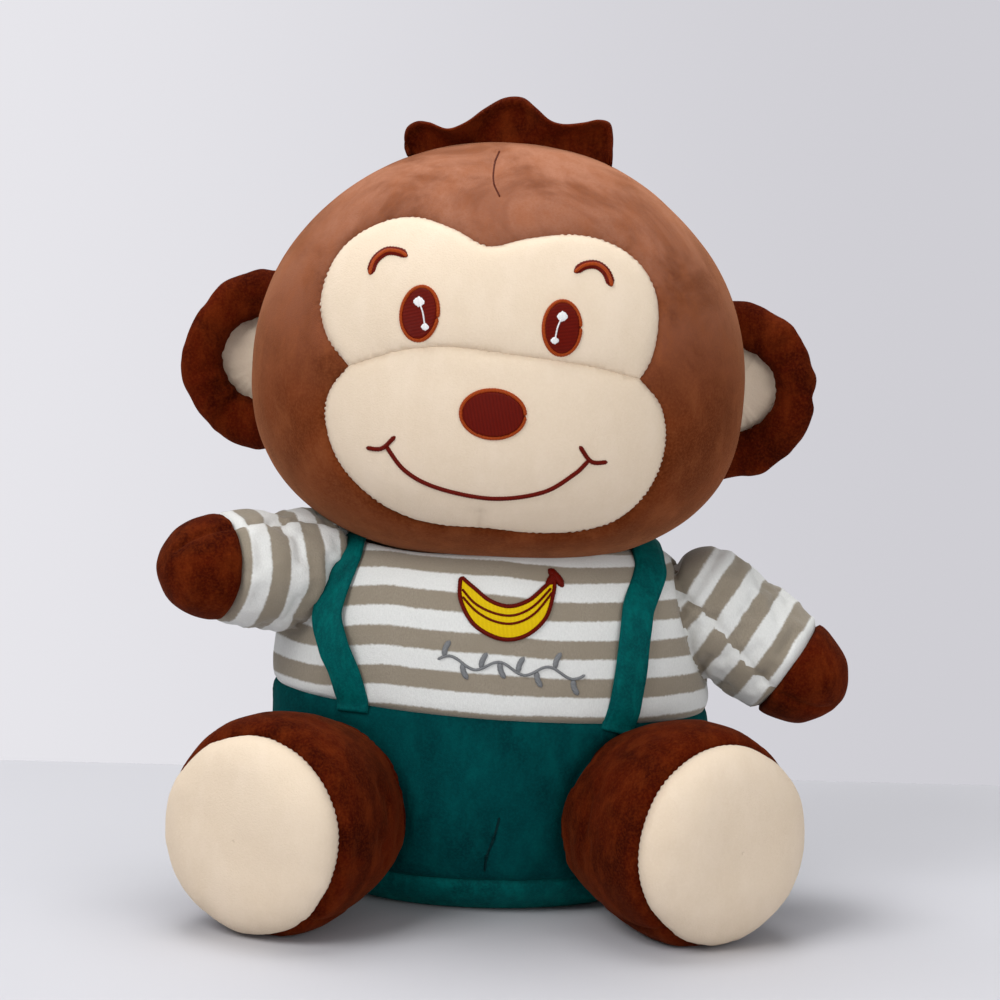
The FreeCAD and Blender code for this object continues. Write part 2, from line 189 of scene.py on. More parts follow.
def turned(verts, faces, toward):
    """The faces, turned over where their normals point away from toward on the whole."""
    return faces[:, ::-1] if (normals_of(verts, faces) * toward).sum(axis=1).mean() < 0 else faces


def added(name, data):
    thing = bpy.data.objects.new(name, data)
    bpy.context.scene.collection.objects.link(thing)
    return thing


def seam_points(verts, faces, labels):
    """The vertices where faces of two labels meet."""
    low = np.full(len(verts), 10 ** 6)
    high = np.full(len(verts), -1)
    for k in range(faces.shape[1]):
        np.minimum.at(low, faces[:, k], labels)
        np.maximum.at(high, faces[:, k], labels)
    return verts[(high > low) & (high >= 0)]


def sew(verts, faces, seams, depth=1.3, width=1.5, crown=0.7, pucker=0.5, pucker_size=5.0, reach=6.0, seed=0):
    """Sinks the surface along its seams, swells it between them and gathers it into puckers beside them."""
    out = normals_of(verts, faces)
    d, which = nearest(verts, seams)
    ripple = noise(seams[which], pucker_size, seed)
    offset = -depth * np.exp(-(d / width) ** 1.3) + crown * (1 - np.exp(-d / 9.0))
    offset += pucker * ripple * np.exp(-d / reach) * (1 - 0.6 * np.exp(-(d / 1.2) ** 2))
    return verts + out * offset[:, None]


def stuffed(verts, faces, held, grow=0.05, cap=2.6, frames=14, pressure=4.0):
    """How far each vertex moves when cloth held at some vertices, and a little too large, is blown up."""
    data = bpy.data.meshes.new("sewing")
    data.from_pydata((verts * 0.001).tolist(), [], faces.tolist())
    form = added("sewing", data)
    group = form.vertex_groups.new(name="held")
    group.add([int(i) for i in np.flatnonzero(held)], 1.0, "REPLACE")
    cloth = form.modifiers.new("cloth", "CLOTH")
    settings = cloth.settings
    settings.quality = 6
    settings.mass = 0.15
    settings.tension_stiffness = settings.compression_stiffness = settings.shear_stiffness = 12.0
    settings.bending_stiffness = 0.15
    settings.vertex_group_mass = "held"
    settings.shrink_min = settings.shrink_max = -grow
    settings.use_pressure = True
    settings.uniform_pressure_force = pressure
    settings.effector_weights.gravity = 0.0
    cloth.collision_settings.use_collision = False
    cloth.point_cache.frame_start, cloth.point_cache.frame_end = 1, frames
    scene = bpy.context.scene
    for frame_number in range(1, frames + 1):
        scene.frame_set(frame_number)
    blown = form.evaluated_get(bpy.context.evaluated_depsgraph_get()).to_mesh()
    moved = np.empty(len(verts) * 3)
    blown.vertices.foreach_get("co", moved)
    bpy.data.objects.remove(form)
    bpy.data.meshes.remove(data)
    scene.frame_set(1)
    move = np.nan_to_num(moved.reshape(-1, 3) * 1000 - verts)
    far = np.linalg.norm(move, axis=1, keepdims=True)
    return move * np.tanh(far / cap) * cap / np.maximum(far, 1e-9)


def carried(move, coarse, fine, count=4):
    """The movement of coarse points, taken over by fine ones."""
    tree = tree_of(coarse)
    result = np.zeros_like(fine)
    for i, point in enumerate(fine):
        found = tree.find_n(point, count)
        weights = np.array([1 / (d * d + 0.5) for _, _, d in found])
        result[i] = weights @ move[[k for _, k, _ in found]] / weights.sum()
    return result


def stuffed_grid(verts, rows, cols, seam_rows, seam_cols, every=(3, 3), end=None, **how):
    """Blows up a grid of vertices that closes round its columns, at a coarser spacing, held along its seams.

    Rows past the end are the tip of a tube, and go with the last row before them.
    """
    last = rows - 1 if end is None else end
    keep_rows = sorted({r for r in range(0, rows, every[0]) if r < last - 1} | set(seam_rows) | {last})
    keep_cols = np.arange(0, cols, every[1])
    grid = verts.reshape(rows, cols, 3)
    coarse = grid[keep_rows][:, keep_cols]
    held = np.zeros(coarse.shape[:2], bool)
    held_rows = {0, *seam_rows} | ({last} if end is None else set())
    held[[k for k, r in enumerate(keep_rows) if r in held_rows]] = True
    held[:, [int(round(c / every[1])) % len(keep_cols) for c in seam_cols]] = True
    faces = grid_faces(len(keep_rows), len(keep_cols))
    points, middle = coarse.reshape(-1, 3), held.size // 2
    if normals_of(points, faces)[middle] @ (points[middle] - grid.mean((0, 1))) < 0:
        faces = faces[:, ::-1]
    move = stuffed(points, faces, held.ravel(), **how).reshape(coarse.shape)
    at_rows = np.interp(np.arange(rows), keep_rows, np.arange(len(keep_rows)))
    past = np.arange(rows) > last
    at_cols = np.arange(cols) / every[1]
    r0 = np.minimum(at_rows.astype(int), len(keep_rows) - 2)
    c0 = at_cols.astype(int) % len(keep_cols)
    c1 = (c0 + 1) % len(keep_cols)
    fr, fc = smooth(at_rows - r0)[:, None, None], smooth(at_cols - at_cols.astype(int))[None, :, None]
    low = move[r0][:, c0] * (1 - fc) + move[r0][:, c1] * fc
    high = move[r0 + 1][:, c0] * (1 - fc) + move[r0 + 1][:, c1] * fc
    total = low * (1 - fr) + high * fr
    total[past] = move[-1].mean(axis=0)
    if past.any():
        near = max(last - 6, 0)
        share = smooth((np.arange(near, last + 1) - near) / 6.0)[:, None, None]
        total[near:last + 1] = total[near:last + 1] * (1 - share) + move[-1].mean(axis=0) * share
    return verts + total.reshape(-1, 3)


def panel(verts, faces, labels, label):
    """One label's faces with their own vertices, and which of the whole's vertices those are."""
    kept = faces[labels == label]
    used, flat = np.unique(kept, return_inverse=True)
    return verts[used], flat.reshape(kept.shape), used


def thick(verts, faces, inward, thickness=CLOTH):
    """Closes a surface into cloth of that thickness."""
    count = len(verts)
    edges = np.concatenate([np.stack([faces[:, k], faces[:, (k + 1) % faces.shape[1]]], 1)
                            for k in range(faces.shape[1])])
    edges = edges[edges[:, 0] != edges[:, 1]]
    key = edges.min(1) * count + edges.max(1)
    _, first, times = np.unique(key, return_index=True, return_counts=True)
    rim = edges[first[times == 1]]
    walls = np.stack([rim[:, 1], rim[:, 0], rim[:, 0] + count, rim[:, 1] + count], 1)
    back = faces[:, ::-1] + count
    polygons = faces.tolist() + back.tolist() + walls.tolist()
    return np.vstack([verts, verts + inward * thickness]), polygons


def mesh(name, verts, polygons, material, body, stands_for=(), values=None):
    data = bpy.data.meshes.new(name)
    clean = []
    for face in polygons:
        kept = [v for k, v in enumerate(face) if v != face[k - 1]]
        if len(set(kept)) > 2:
            clean.append(kept)
    data.from_pydata(((verts + TO_ORIGIN) * 0.001).tolist(), [], clean)
    data.polygons.foreach_set("use_smooth", np.ones(len(data.polygons), bool))
    for key, numbers in (values or {}).items():
        layer = data.attributes.new(key, "FLOAT", "POINT")
        layer.data.foreach_set("value", np.asarray(numbers, np.float32))
    data.validate()
    piece = added(name, data)
    data.materials.append(material)
    if isinstance(body, str):
        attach(piece, body)
    else:
        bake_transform(piece)
    if stands_for:
        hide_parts(*stands_for)
    return piece


def cloth_panels(verts, faces, labels, table, out=None, values=None):
    """Cuts a sewn surface into its panels. table is label -> (name, material, body, stands_for, slot)."""
    out = normals_of(verts, faces) if out is None else out
    made = {}
    for label, (name, material, body, stands_for, slot) in table.items():
        v, f, used = panel(verts, faces, labels, label)
        both, polygons = thick(v, f, -out[used])
        own = {k: np.tile(np.asarray(x)[used], 2) for k, x in (values or {}).items()}
        made[name] = mesh(name, both, polygons, material, body, stands_for, own)
    return made


# ---------------------------------------------------------------- materials

class Nodes:
    """A short way to wire one material's nodes."""

    def __init__(self, name):
        self.material = bpy.data.materials.new(name)
        self.material.use_nodes = True
        self.tree = self.material.node_tree
        self.shader = self.tree.nodes["Principled BSDF"]
        self.place = self.add("ShaderNodeTexCoord").outputs["Object"]

    def add(self, kind, inputs=None, **settings):
        node = self.tree.nodes.new(kind)
        for key, value in settings.items():
            setattr(node, key, value)
        for key, value in (inputs or {}).items():
            self.feed(node.inputs[key], value)
        return node

    def feed(self, socket, value):
        if isinstance(value, bpy.types.NodeSocket):
            self.tree.links.new(value, socket)
        elif isinstance(value, tuple) and socket.type == "RGBA":
            socket.default_value = (*value, 1)
        else:
            socket.default_value = value

    def noise(self, size_mm, detail=3.0, rough=0.55, stretch=None, distortion=0.0):
        place = self.place
        if stretch:
            place = self.add("ShaderNodeMapping", {"Vector": place, "Scale": stretch}).outputs[0]
        return self.add("ShaderNodeTexNoise", {"Vector": place, "Scale": 1000.0 / size_mm, "Detail": detail,
                                               "Roughness": rough, "Distortion": distortion}).outputs["Fac"]

    def ramp(self, value, low, high, to_low=0.0, to_high=1.0):
        return self.add("ShaderNodeMapRange", {"Value": value, "From Min": low, "From Max": high,
                                               "To Min": to_low, "To Max": to_high},
                        interpolation_type="SMOOTHSTEP").outputs["Result"]

    def mix(self, share, a, b):
        node = self.add("ShaderNodeMix", data_type="RGBA")
        for socket, value in ((node.inputs[0], share), (node.inputs[6], a), (node.inputs[7], b)):
            self.feed(socket, value)
        return node.outputs[2]

    def math(self, operation, a, b=0.0, c=0.0):
        return self.add("ShaderNodeMath", {0: a, 1: b, 2: c}, operation=operation).outputs[0]

    def bump(self, height, strength, distance_mm, below=None):
        inputs = {"Height": height, "Strength": strength, "Distance": distance_mm * 0.001}
        if below is not None:
            inputs["Normal"] = below
        return self.add("ShaderNodeBump", inputs).outputs["Normal"]

    def finish(self, **inputs):
        for key, value in inputs.items():
            self.feed(self.shader.inputs[key.replace("_", " ")], value)
        return self.material


def linear(r, g, b):
    return tuple(((c / 255 + 0.055) / 1.055) ** 2.4 if c > 10 else c / 255 / 12.92 for c in (r, g, b))


def plush(name, deep, mid, light, nap_mm, contrast, sheen, sheen_tint, pile_mm=0.5, rough=0.9, painted_top_sheen=None):
    """Short crushed pile: patches lie different ways and look darker or lighter, with a fine speckle of tips.

    The last argument is a lighter colour painted on towards the top of the head: a painted highlight of sheen
    where the light falls from above, patchy with the nap.
    """
    n = Nodes(name)
    nap = n.noise(nap_mm, 4.0, 0.6, distortion=0.6)
    streak = n.noise(nap_mm * 0.28, 3.0, 0.6, stretch=(1.0, 1.0, 0.45))
    speck = n.noise(0.9, 2.0, 0.6)
    low, high = 0.5 - 0.16 / contrast, 0.5 + 0.16 / contrast
    colour = n.mix(n.ramp(nap, low, high), deep, mid)
    if painted_top_sheen:
        # Painted highlight: the pile is painted lighter towards the top of the head, where light and sheen fall
        # from above.
        height = n.add("ShaderNodeSeparateXYZ", {0: n.place}).outputs["Z"]
        share = n.math("MULTIPLY", n.ramp(height, 0.17, 0.28), n.ramp(nap, 0.3, 0.62, 0.3, 0.95))
        colour = n.mix(share, colour, painted_top_sheen)
    colour = n.mix(n.math("MULTIPLY", n.ramp(streak, 0.42, 0.72), 0.36), colour, light)
    colour = n.mix(n.math("MULTIPLY", n.ramp(speck, 0.35, 0.75), 0.28), colour, light)
    pile = n.bump(n.noise(pile_mm, 2.0, 0.7), 0.55, 0.35)
    pile = n.bump(streak, 0.35, 0.6, pile)
    return n.finish(Base_Color=colour, Roughness=rough, Normal=pile, Sheen_Weight=sheen, Sheen_Roughness=0.45,
                    Sheen_Tint=sheen_tint, Specular_IOR_Level=0.04)


def striped(name):
    """Knitted plush in two colours, whose soft-edged stripes follow the cloth."""
    n = Nodes(name)
    along = n.add("ShaderNodeAttribute", attribute_name="stripe").outputs["Fac"]
    wobble = n.math("MULTIPLY", n.math("SUBTRACT", n.noise(9.0, 2.0), 0.5), 0.05)
    wave = n.math("PINGPONG", n.math("ADD", along, wobble), 0.5)
    fray = n.math("MULTIPLY", n.math("SUBTRACT", n.noise(1.1, 2.0), 0.5), 0.07)
    grey_share = n.ramp(n.math("ADD", wave, fray), 0.215, 0.285)
    fuzz = n.noise(0.7, 2.0, 0.6, stretch=(1.6, 1.6, 0.7))
    white = n.mix(fuzz, linear(205, 206, 203), linear(230, 231, 228))
    grey = n.mix(fuzz, linear(128, 118, 103), linear(158, 148, 132))
    patch = n.noise(16.0, 3.0, 0.6)
    grey = n.mix(n.ramp(patch, 0.4, 0.7), grey, linear(142, 132, 116))
    colour = n.mix(grey_share, grey, white)
    pile = n.bump(n.noise(0.6, 2.0, 0.7), 0.5, 0.35)
    pile = n.bump(n.noise(2.6, 2.0), 0.25, 0.5, pile)
    return n.finish(Base_Color=colour, Roughness=0.9, Normal=pile, Sheen_Weight=0.35, Sheen_Roughness=0.5,
                    Sheen_Tint=linear(235, 235, 232), Specular_IOR_Level=0.04)


def threads(name, dark, light, gloss=0.45):
    """Satin stitch: bright threads side by side across the form."""
    n = Nodes(name)
    across = n.add("ShaderNodeAttribute", attribute_name="thread").outputs["Fac"]
    ridge = n.math("PINGPONG", across, 0.5)
    shade = n.noise(1.4, 2.0)
    colour = n.mix(n.ramp(ridge, 0.05, 0.45), dark, light)
    colour = n.mix(n.math("MULTIPLY", shade, 0.35), colour, dark)
    lump = n.bump(ridge, 0.8, 0.25)
    return n.finish(Base_Color=colour, Roughness=gloss, Normal=lump, Specular_IOR_Level=0.08)


# The brown plush's last colour is a painted highlight towards the top of the head.
BROWN = plush("brown_plush", linear(86, 35, 9), linear(106, 47, 18), linear(140, 78, 44), 30.0, 0.85, 0.36,
              linear(245, 175, 130), painted_top_sheen=linear(170, 118, 94))
DARK_BROWN = plush("dark_brown_plush", linear(44, 4, 0), linear(74, 16, 1), linear(118, 48, 14), 24.0, 0.85, 0.13,
                   linear(215, 115, 65))
CREAM = plush("cream_plush", linear(219, 200, 176), linear(223, 205, 182), linear(230, 213, 193), 40.0, 0.6, 0.1,
              linear(250, 240, 228), 0.6)
TEAL = plush("teal_plush", linear(0, 46, 49), linear(0, 60, 62), linear(0, 86, 85), 26.0, 0.75, 0.15,
             linear(0, 150, 140))
# The straps' teal; the seat panel wears it too, where its lighter teal is painted light on the pile.
STRAP_AND_LIT_SEAT = plush("teal_strap_and_lit_seat_plush", linear(0, 62, 64), linear(0, 80, 80), linear(0, 116, 110), 14.0, 0.75, 0.2,
              linear(0, 170, 160), rough=0.6)
STRIPED = striped("striped_plush")
DARK_THREAD = threads("brown_thread", linear(72, 4, 0), linear(118, 20, 2))
# Dark thread for the forehead dart: its stitches, and painted shade of the narrow groove.
DART_SHADE_THREAD = threads("dart_stitch_and_shade_thread", linear(66, 20, 6), linear(96, 38, 14))
# Dark teal thread for the crotch dart: its stitches, and painted shade of the narrow groove.
TEAL_DART_SHADE_THREAD = threads("teal_dart_stitch_and_shade_thread", linear(0, 30, 32), linear(0, 46, 48))
AMBER_THREAD = threads("amber_thread", linear(122, 36, 4), linear(186, 84, 30))
WHITE_THREAD = threads("white_thread", linear(215, 215, 215), linear(252, 252, 252))
YELLOW_THREAD = threads("yellow_thread", linear(205, 165, 0), linear(240, 212, 10))
GREY_THREAD = threads("grey_thread", linear(100, 102, 104), linear(150, 152, 154))


# ---------------------------------------------------------------- head

HEAD_CENTRE = vec(-1.0, -6.0, 186.0)
HEAD_A, HEAD_D, HEAD_UP, HEAD_DOWN = 86.4, 63.0, 82.0, 63.5
HEAD_TURN = rotation("Z", -3.0) @ rotation("Y", 1.9)
SIDE_SEAM = math.acos(-9.0 / 63.0)
DOMAIN = 72.0  # millimetres to a radian, for laying out the head's panels flat
STEP = 1.8


def head_to_world(p):
    return p @ HEAD_TURN.T + HEAD_CENTRE


def head_surface(directions):
    """Points of the head's plain form in directions given on the unit ball."""
    n = np.where(directions[:, 2] >= 0, 2.0, 2.5)
    up = np.where(directions[:, 2] >= 0, HEAD_UP, HEAD_DOWN)
    size = (np.hypot(directions[:, 0], directions[:, 1]) ** n + np.abs(directions[:, 2]) ** n) ** (-1 / n)
    return directions * np.stack([np.full(len(n), HEAD_A), np.full(len(n), HEAD_D), up], 1) * size[:, None]


def cap_to_ball(uv, side):
    """A flat round map of the front (-Y) or back (+Y) of the unit ball."""
    rho = np.linalg.norm(uv, axis=1) / DOMAIN
    around = np.arctan2(uv[:, 1], uv[:, 0])
    return np.stack([np.sin(rho) * np.cos(around), side * np.cos(rho), np.sin(rho) * np.sin(around)], 1)


def front_to_cap(xz):
    """The same map of points given in the front view, x and z in the head's own frame."""
    xz = np.asarray(xz, float)
    up = np.where(xz[:, 1] >= 0, HEAD_UP, HEAD_DOWN)
    n = np.where(xz[:, 1] >= 0, 2.0, 2.5)
    z = xz[:, 1] / up
    ring = np.maximum(1 - np.abs(z) ** n, 0) ** (1 / n)
    y = np.sqrt(np.maximum(ring ** 2 - (xz[:, 0] / HEAD_A) ** 2, 0))
    d = unit(np.stack([xz[:, 0] / HEAD_A, -y, z], 1))
    rho = np.arccos(-d[:, 1])
    around = np.arctan2(d[:, 2], d[:, 0])
    return np.stack([np.cos(around), np.sin(around)], 1) * (rho * DOMAIN)[:, None]


def fill(outline, lines, step):
    """Triangles inside a closed 2-D outline whose edges follow some lines in it."""
    low, high = outline.min(0), outline.max(0)
    rows = np.arange(low[1], high[1], step * math.sqrt(3) / 2)
    dots = np.array([(x, y) for k, y in enumerate(rows)
                     for x in np.arange(low[0] + (k % 2) * step / 2, high[0], step)])
    fixed = [np.vstack([outline, outline[:1]])] + lines
    walls = np.vstack(fixed)
    dots = dots[inside(dots, outline)]
    dots = dots[flat_distance(dots, walls) > step * 0.55]
    points, edges = [], []
    for line in fixed:
        start = len(points)
        points += [Vector(p) for p in line]
        edges += [(start + k, start + k + 1) for k in range(len(line) - 1)]
    points += [Vector(p) for p in dots]
    verts, _, faces, *_ = delaunay_2d_cdt(points, edges, [], 0, 1e-3)
    verts = np.array([tuple(v) for v in verts])
    faces = np.array(faces)
    kept = inside(face_centres(verts, faces), outline)
    return verts, faces[kept]


BROW_TOP = [(-50.4, 5.4), (-58.8, 14.5), (-62.4, 26.0), (-60.0, 38.0), (-53.5, 47.5), (-42.0, 54.8),
            (-30.0, 57.2), (-17.0, 54.0), (-5.0, 49.2), (8.0, 52.6), (24.0, 55.0), (37.0, 52.6),
            (47.0, 46.0), (53.0, 36.0), (54.4, 24.0), (52.8, 14.0), (49.3, 7.7)]
MUZZLE_TOP = [(49.3, 7.7), (35.0, 11.0), (21.0, 12.8), (0.0, 14.6), (-18.0, 15.0), (-34.0, 12.0),
              (-50.4, 5.4)]
MUZZLE_LOW = [(-50.4, 5.4), (-56.4, -3.5), (-57.8, -13.0), (-54.0, -25.5), (-46.0, -35.8),
              (-33.0, -44.4), (-18.0, -48.0), (0.0, -47.6), (16.0, -49.0), (33.0, -48.0), (46.5, -42.5),
              (56.0, -31.0), (60.0, -16.0), (57.5, -2.0), (49.3, 7.7)]
FOREHEAD_DART = [(-4.4, 80.6), (-5.6, 76.0), (-5.2, 70.0), (-2.6, 65.4)]
CHIN_SEAM = [(-2.0, -40.0), (-2.5, -44.0), (-2.2, -47.6)]


def face_relief(local, out):
    """The muzzle's and cheeks' swelling over the head's plain form, in the head's own frame."""
    x, z = local[:, 0], local[:, 2]
    front = smooth(-local[:, 1] / 30.0)
    muzzle = np.clip(1 - (x / 60.0) ** 2 - ((z + 18.0) / 34.0) ** 2, 0, 1) ** 1.2
    brow = np.clip(1 - (x / 62.0) ** 2 - ((z - 32.0) / 27.0) ** 2, 0, 1)
    return local + out * (front * (3.6 * muzzle + 1.2 * brow))[:, None]


def head_surface_near(xz):
    """Points of the head's plain form given in the front view, and which way is out."""
    p = head_surface(cap_to_ball(front_to_cap(xz), FRONT))
    return p, unit(p / np.array((HEAD_A, HEAD_D, HEAD_UP)) ** 2)


CLOTH_OF = {}
TOOTH_PITCH, TOOTH = 2.3, 0.26


def toothed(line, size):
    """Small teeth where stitches pull one cloth into the other along a flat line."""
    line = even(line, TOOTH_PITCH / 4)
    along = unit(np.gradient(line, axis=0))
    side = np.stack([-along[:, 1], along[:, 0]], 1)
    tooth = size * np.sin(np.arange(len(line)) * math.pi / 2 + math.pi / 4)
    tooth *= 0.45 + 0.9 * noise(np.c_[line, line[:, :1] * 0], 3.1, 4)
    tooth *= smooth(np.minimum(np.arange(len(line)), np.arange(len(line))[::-1]) / 4.0)
    return line + side * tooth[:, None]


def make_head():
    ring_turn = np.linspace(0, 2 * math.pi, 300, endpoint=False)
    ring = np.stack([np.cos(ring_turn), np.sin(ring_turn)], 1)
    brow_top, muzzle_top, muzzle_low = (
        toothed(curve_through(front_to_cap(curve_through(line, 2.0)), STEP), size)
        for line, size in ((BROW_TOP, TOOTH), (MUZZLE_TOP, 0.1), (MUZZLE_LOW, TOOTH)))
    darts = [front_to_cap(curve_through(line, 0.8)) for line in (FOREHEAD_DART, CHIN_SEAM)]
    beside = [line + vec(side * 1.2, 0) for line in darts for side in (-1, 1)]
    side_seam = ring * SIDE_SEAM * DOMAIN
    uv, faces = fill(side_seam, [brow_top, muzzle_top, muzzle_low] + darts + beside, STEP)
    centres = face_centres(uv, faces)
    in_brow = inside(centres, np.vstack([brow_top[:-1], muzzle_top[:-1]]))
    in_muzzle = inside(centres, np.vstack([muzzle_top[:-1], muzzle_low[:-1]]))
    labels = np.where(in_brow, 1, np.where(in_muzzle, 2, 0))
    front = head_surface(cap_to_ball(uv, FRONT))
    faces = turned(front, faces, vec(0, FRONT, 0))

    back_seam = np.stack([np.zeros(120), np.linspace(-1, 1, 120) * (math.pi - SIDE_SEAM) * DOMAIN], 1)
    uv2, faces2 = fill(ring * (math.pi - SIDE_SEAM) * DOMAIN, [back_seam], STEP * 1.2)
    labels2 = np.where(face_centres(uv2, faces2)[:, 0] > 0, 3, 4)
    back = head_surface(cap_to_ball(uv2, BACK))
    faces2 = turned(back, faces2, vec(0, BACK, 0))

    sparse, sparse_faces = fill(side_seam, [curve_through(front_to_cap(line), 5.0)
                                            for line in (BROW_TOP, MUZZLE_TOP, MUZZLE_LOW)], 5.0)
    form = head_surface(cap_to_ball(sparse, FRONT))
    sparse_faces = turned(form, sparse_faces, vec(0, FRONT, 0))
    held = flat_distance(sparse, np.vstack([brow_top, muzzle_top, muzzle_low, side_seam])) < 1.0
    front = front + carried(stuffed(form, sparse_faces, held, 0.005, 1.0), form, front)
    for verts, tris, tags, names in (
        (front, faces, labels, {0: ("head_front_panel", BROWN, "brown_plush", ("head_front", "head_filling")),
                                1: ("brow_patch_panel", CREAM, "cream_plush", ("brow_patch",)),
                                2: ("muzzle_patch_panel", CREAM, "cream_plush", ("muzzle_patch",))}),
        (back, faces2, labels2, {3: ("head_back_panel_left", BROWN, "brown_plush", ("head_back_left",)),
                                 4: ("head_back_panel_right", BROWN, "brown_plush", ("head_back_right",))}),
    ):
        out = normals_of(verts, tris)
        shaped = face_relief(verts, out)
        inner = seam_points(shaped, tris, tags)
        edge = head_surface(cap_to_ball(curve_through(side_seam, 1.5, closed=True), FRONT))
        seams = [inner, edge]
        if tris is faces:
            at = head_surface(cap_to_ball(np.vstack(darts), FRONT))
            seams.append(snapped(at, shaped))
        shaped = sew(shaped, tris, np.vstack(seams), 1.1, 1.4, 0.7, 0.22, 5.0, 4.0, 3)
        soft = 0.5 * noise(shaped, 34.0, 5) + 0.08 * noise(shaped, 8.0, 6)
        shaped = shaped + normals_of(shaped, tris) * soft[:, None]
        out = normals_of(shaped, tris)
        if tris is faces:
            CLOTH_OF["head"] = BVHTree.FromPolygons(head_to_world(shaped).tolist(), tris.tolist())
        cloth_panels(head_to_world(shaped), tris, tags,
                     {k: (n, m, "head", s, slot) for k, (n, m, slot, s) in names.items()},
                     out @ HEAD_TURN.T)


# ---------------------------------------------------------------- embroidery

THREAD = 0.45


def raised(name, outline, surface, body, material, stands_for, height, turn, edge=0.7):
    """A satin-stitched patch inside a closed outline of (x, z), with rounded edges and a flat back."""
    verts, faces = fill(outline, [], 0.5)
    d = flat_distance(verts, outline)
    rise = height * np.sqrt(1 - (1 - np.clip(d / edge, 0, 1)) ** 2) + 0.05
    c, s = math.cos(math.radians(turn)), math.sin(math.radians(turn))
    across = (verts[:, 0] * c + verts[:, 1] * s) / THREAD
    rise += 0.05 * np.sin(across * 2 * math.pi) * (d > 0)
    top, out = surface(verts, 0.0)
    faces = turned(top, faces, vec(0, FRONT, 0))
    both, polygons = thick(top + out * rise[:, None], faces, -out, 0.0)
    both[len(top):] = top - out * 0.6
    return mesh(name, both, polygons, material, body, stands_for, {"thread": np.tile(across, 2)})


def oval(centre, half, lean=0.0, count=72):
    t = np.linspace(0, 2 * math.pi, count, endpoint=False)
    c, s = math.cos(math.radians(lean)), math.sin(math.radians(lean))
    x, z = half[0] * np.cos(t), half[1] * np.sin(t)
    return np.stack([centre[0] + x * c + z * s, centre[1] - x * s + z * c], 1)


def rope_line(points, width, surface, height=0.8):
    """A line of satin stitch: short threads lie across it."""
    line = curve_through(points, 0.3)
    along = unit(np.gradient(line, axis=0))
    side = np.stack([-along[:, 1], along[:, 0]], 1)
    run = np.r_[0, np.cumsum(np.linalg.norm(np.diff(line, axis=0), axis=1))]
    taper = np.sqrt(np.clip(np.minimum(run, run[-1] - run) / (width * 0.6), 0.04, 1))
    jag = 1 + 0.10 * np.sin(run / THREAD * 2 * math.pi)
    rows = []
    for t in np.linspace(0, math.pi, 9):
        flat = line + side * (np.cos(t) * width / 2 * taper * jag)[:, None]
        top, out = surface(flat, 0.0)
        rows.append(top + out * (math.sin(t) * height * taper + 0.03 - 0.5 * (math.sin(t) < 1e-6))[:, None])
    base, out = surface(line, 0.0)
    rows.append(base - out * 0.6)
    verts = np.stack(rows, 1)
    count, cols = verts.shape[:2]
    flat = verts.reshape(-1, 3)
    faces = grid_faces(count, cols).tolist() + [list(range(cols))[::-1],
                                                [(count - 1) * cols + k for k in range(cols)]]
    return flat, faces, {"thread": np.repeat(run / THREAD, cols)}


def joined(parts):
    """Several (verts, faces, values) as one."""
    verts, faces, values, start = [], [], {}, 0
    for v, f, w in parts:
        verts.append(v)
        faces += [[i + start for i in face] for face in f]
        for k, x in w.items():
            values.setdefault(k, []).append(x)
        start += len(v)
    return np.vstack(verts), faces, {k: np.concatenate(x) for k, x in values.items()}


def stitch(name, lines, material, body, stands_for):
    """One piece of embroidery made of several stitched lines."""
    verts, faces, values = joined(lines)
    mesh(name, verts, faces, material, body, stands_for, values)


def face_surface(xz, lift):
    """Points on the face's cloth, or so far above it."""
    p, out = head_surface_near(xz)
    out = out @ HEAD_TURN.T
    return on_cloth(head_to_world(p), out, CLOTH_OF["head"]) + out * lift, out


EYES = {"right": (-26.0, 25.0, 8.0), "left": (21.3, 23.5, -4.0)}
BROWS = {"right": [(-44.0, 36.0), (-42.6, 40.8), (-39.0, 44.0), (-34.6, 44.2), (-31.6, 43.0)],
         "left": [(24.0, 41.6), (27.2, 43.9), (31.2, 44.4), (34.6, 42.2), (36.8, 37.6)]}


def ring_line(centre, half, lean):
    loop = oval(centre, half, lean, 40)
    return np.vstack([loop, loop[:1]])


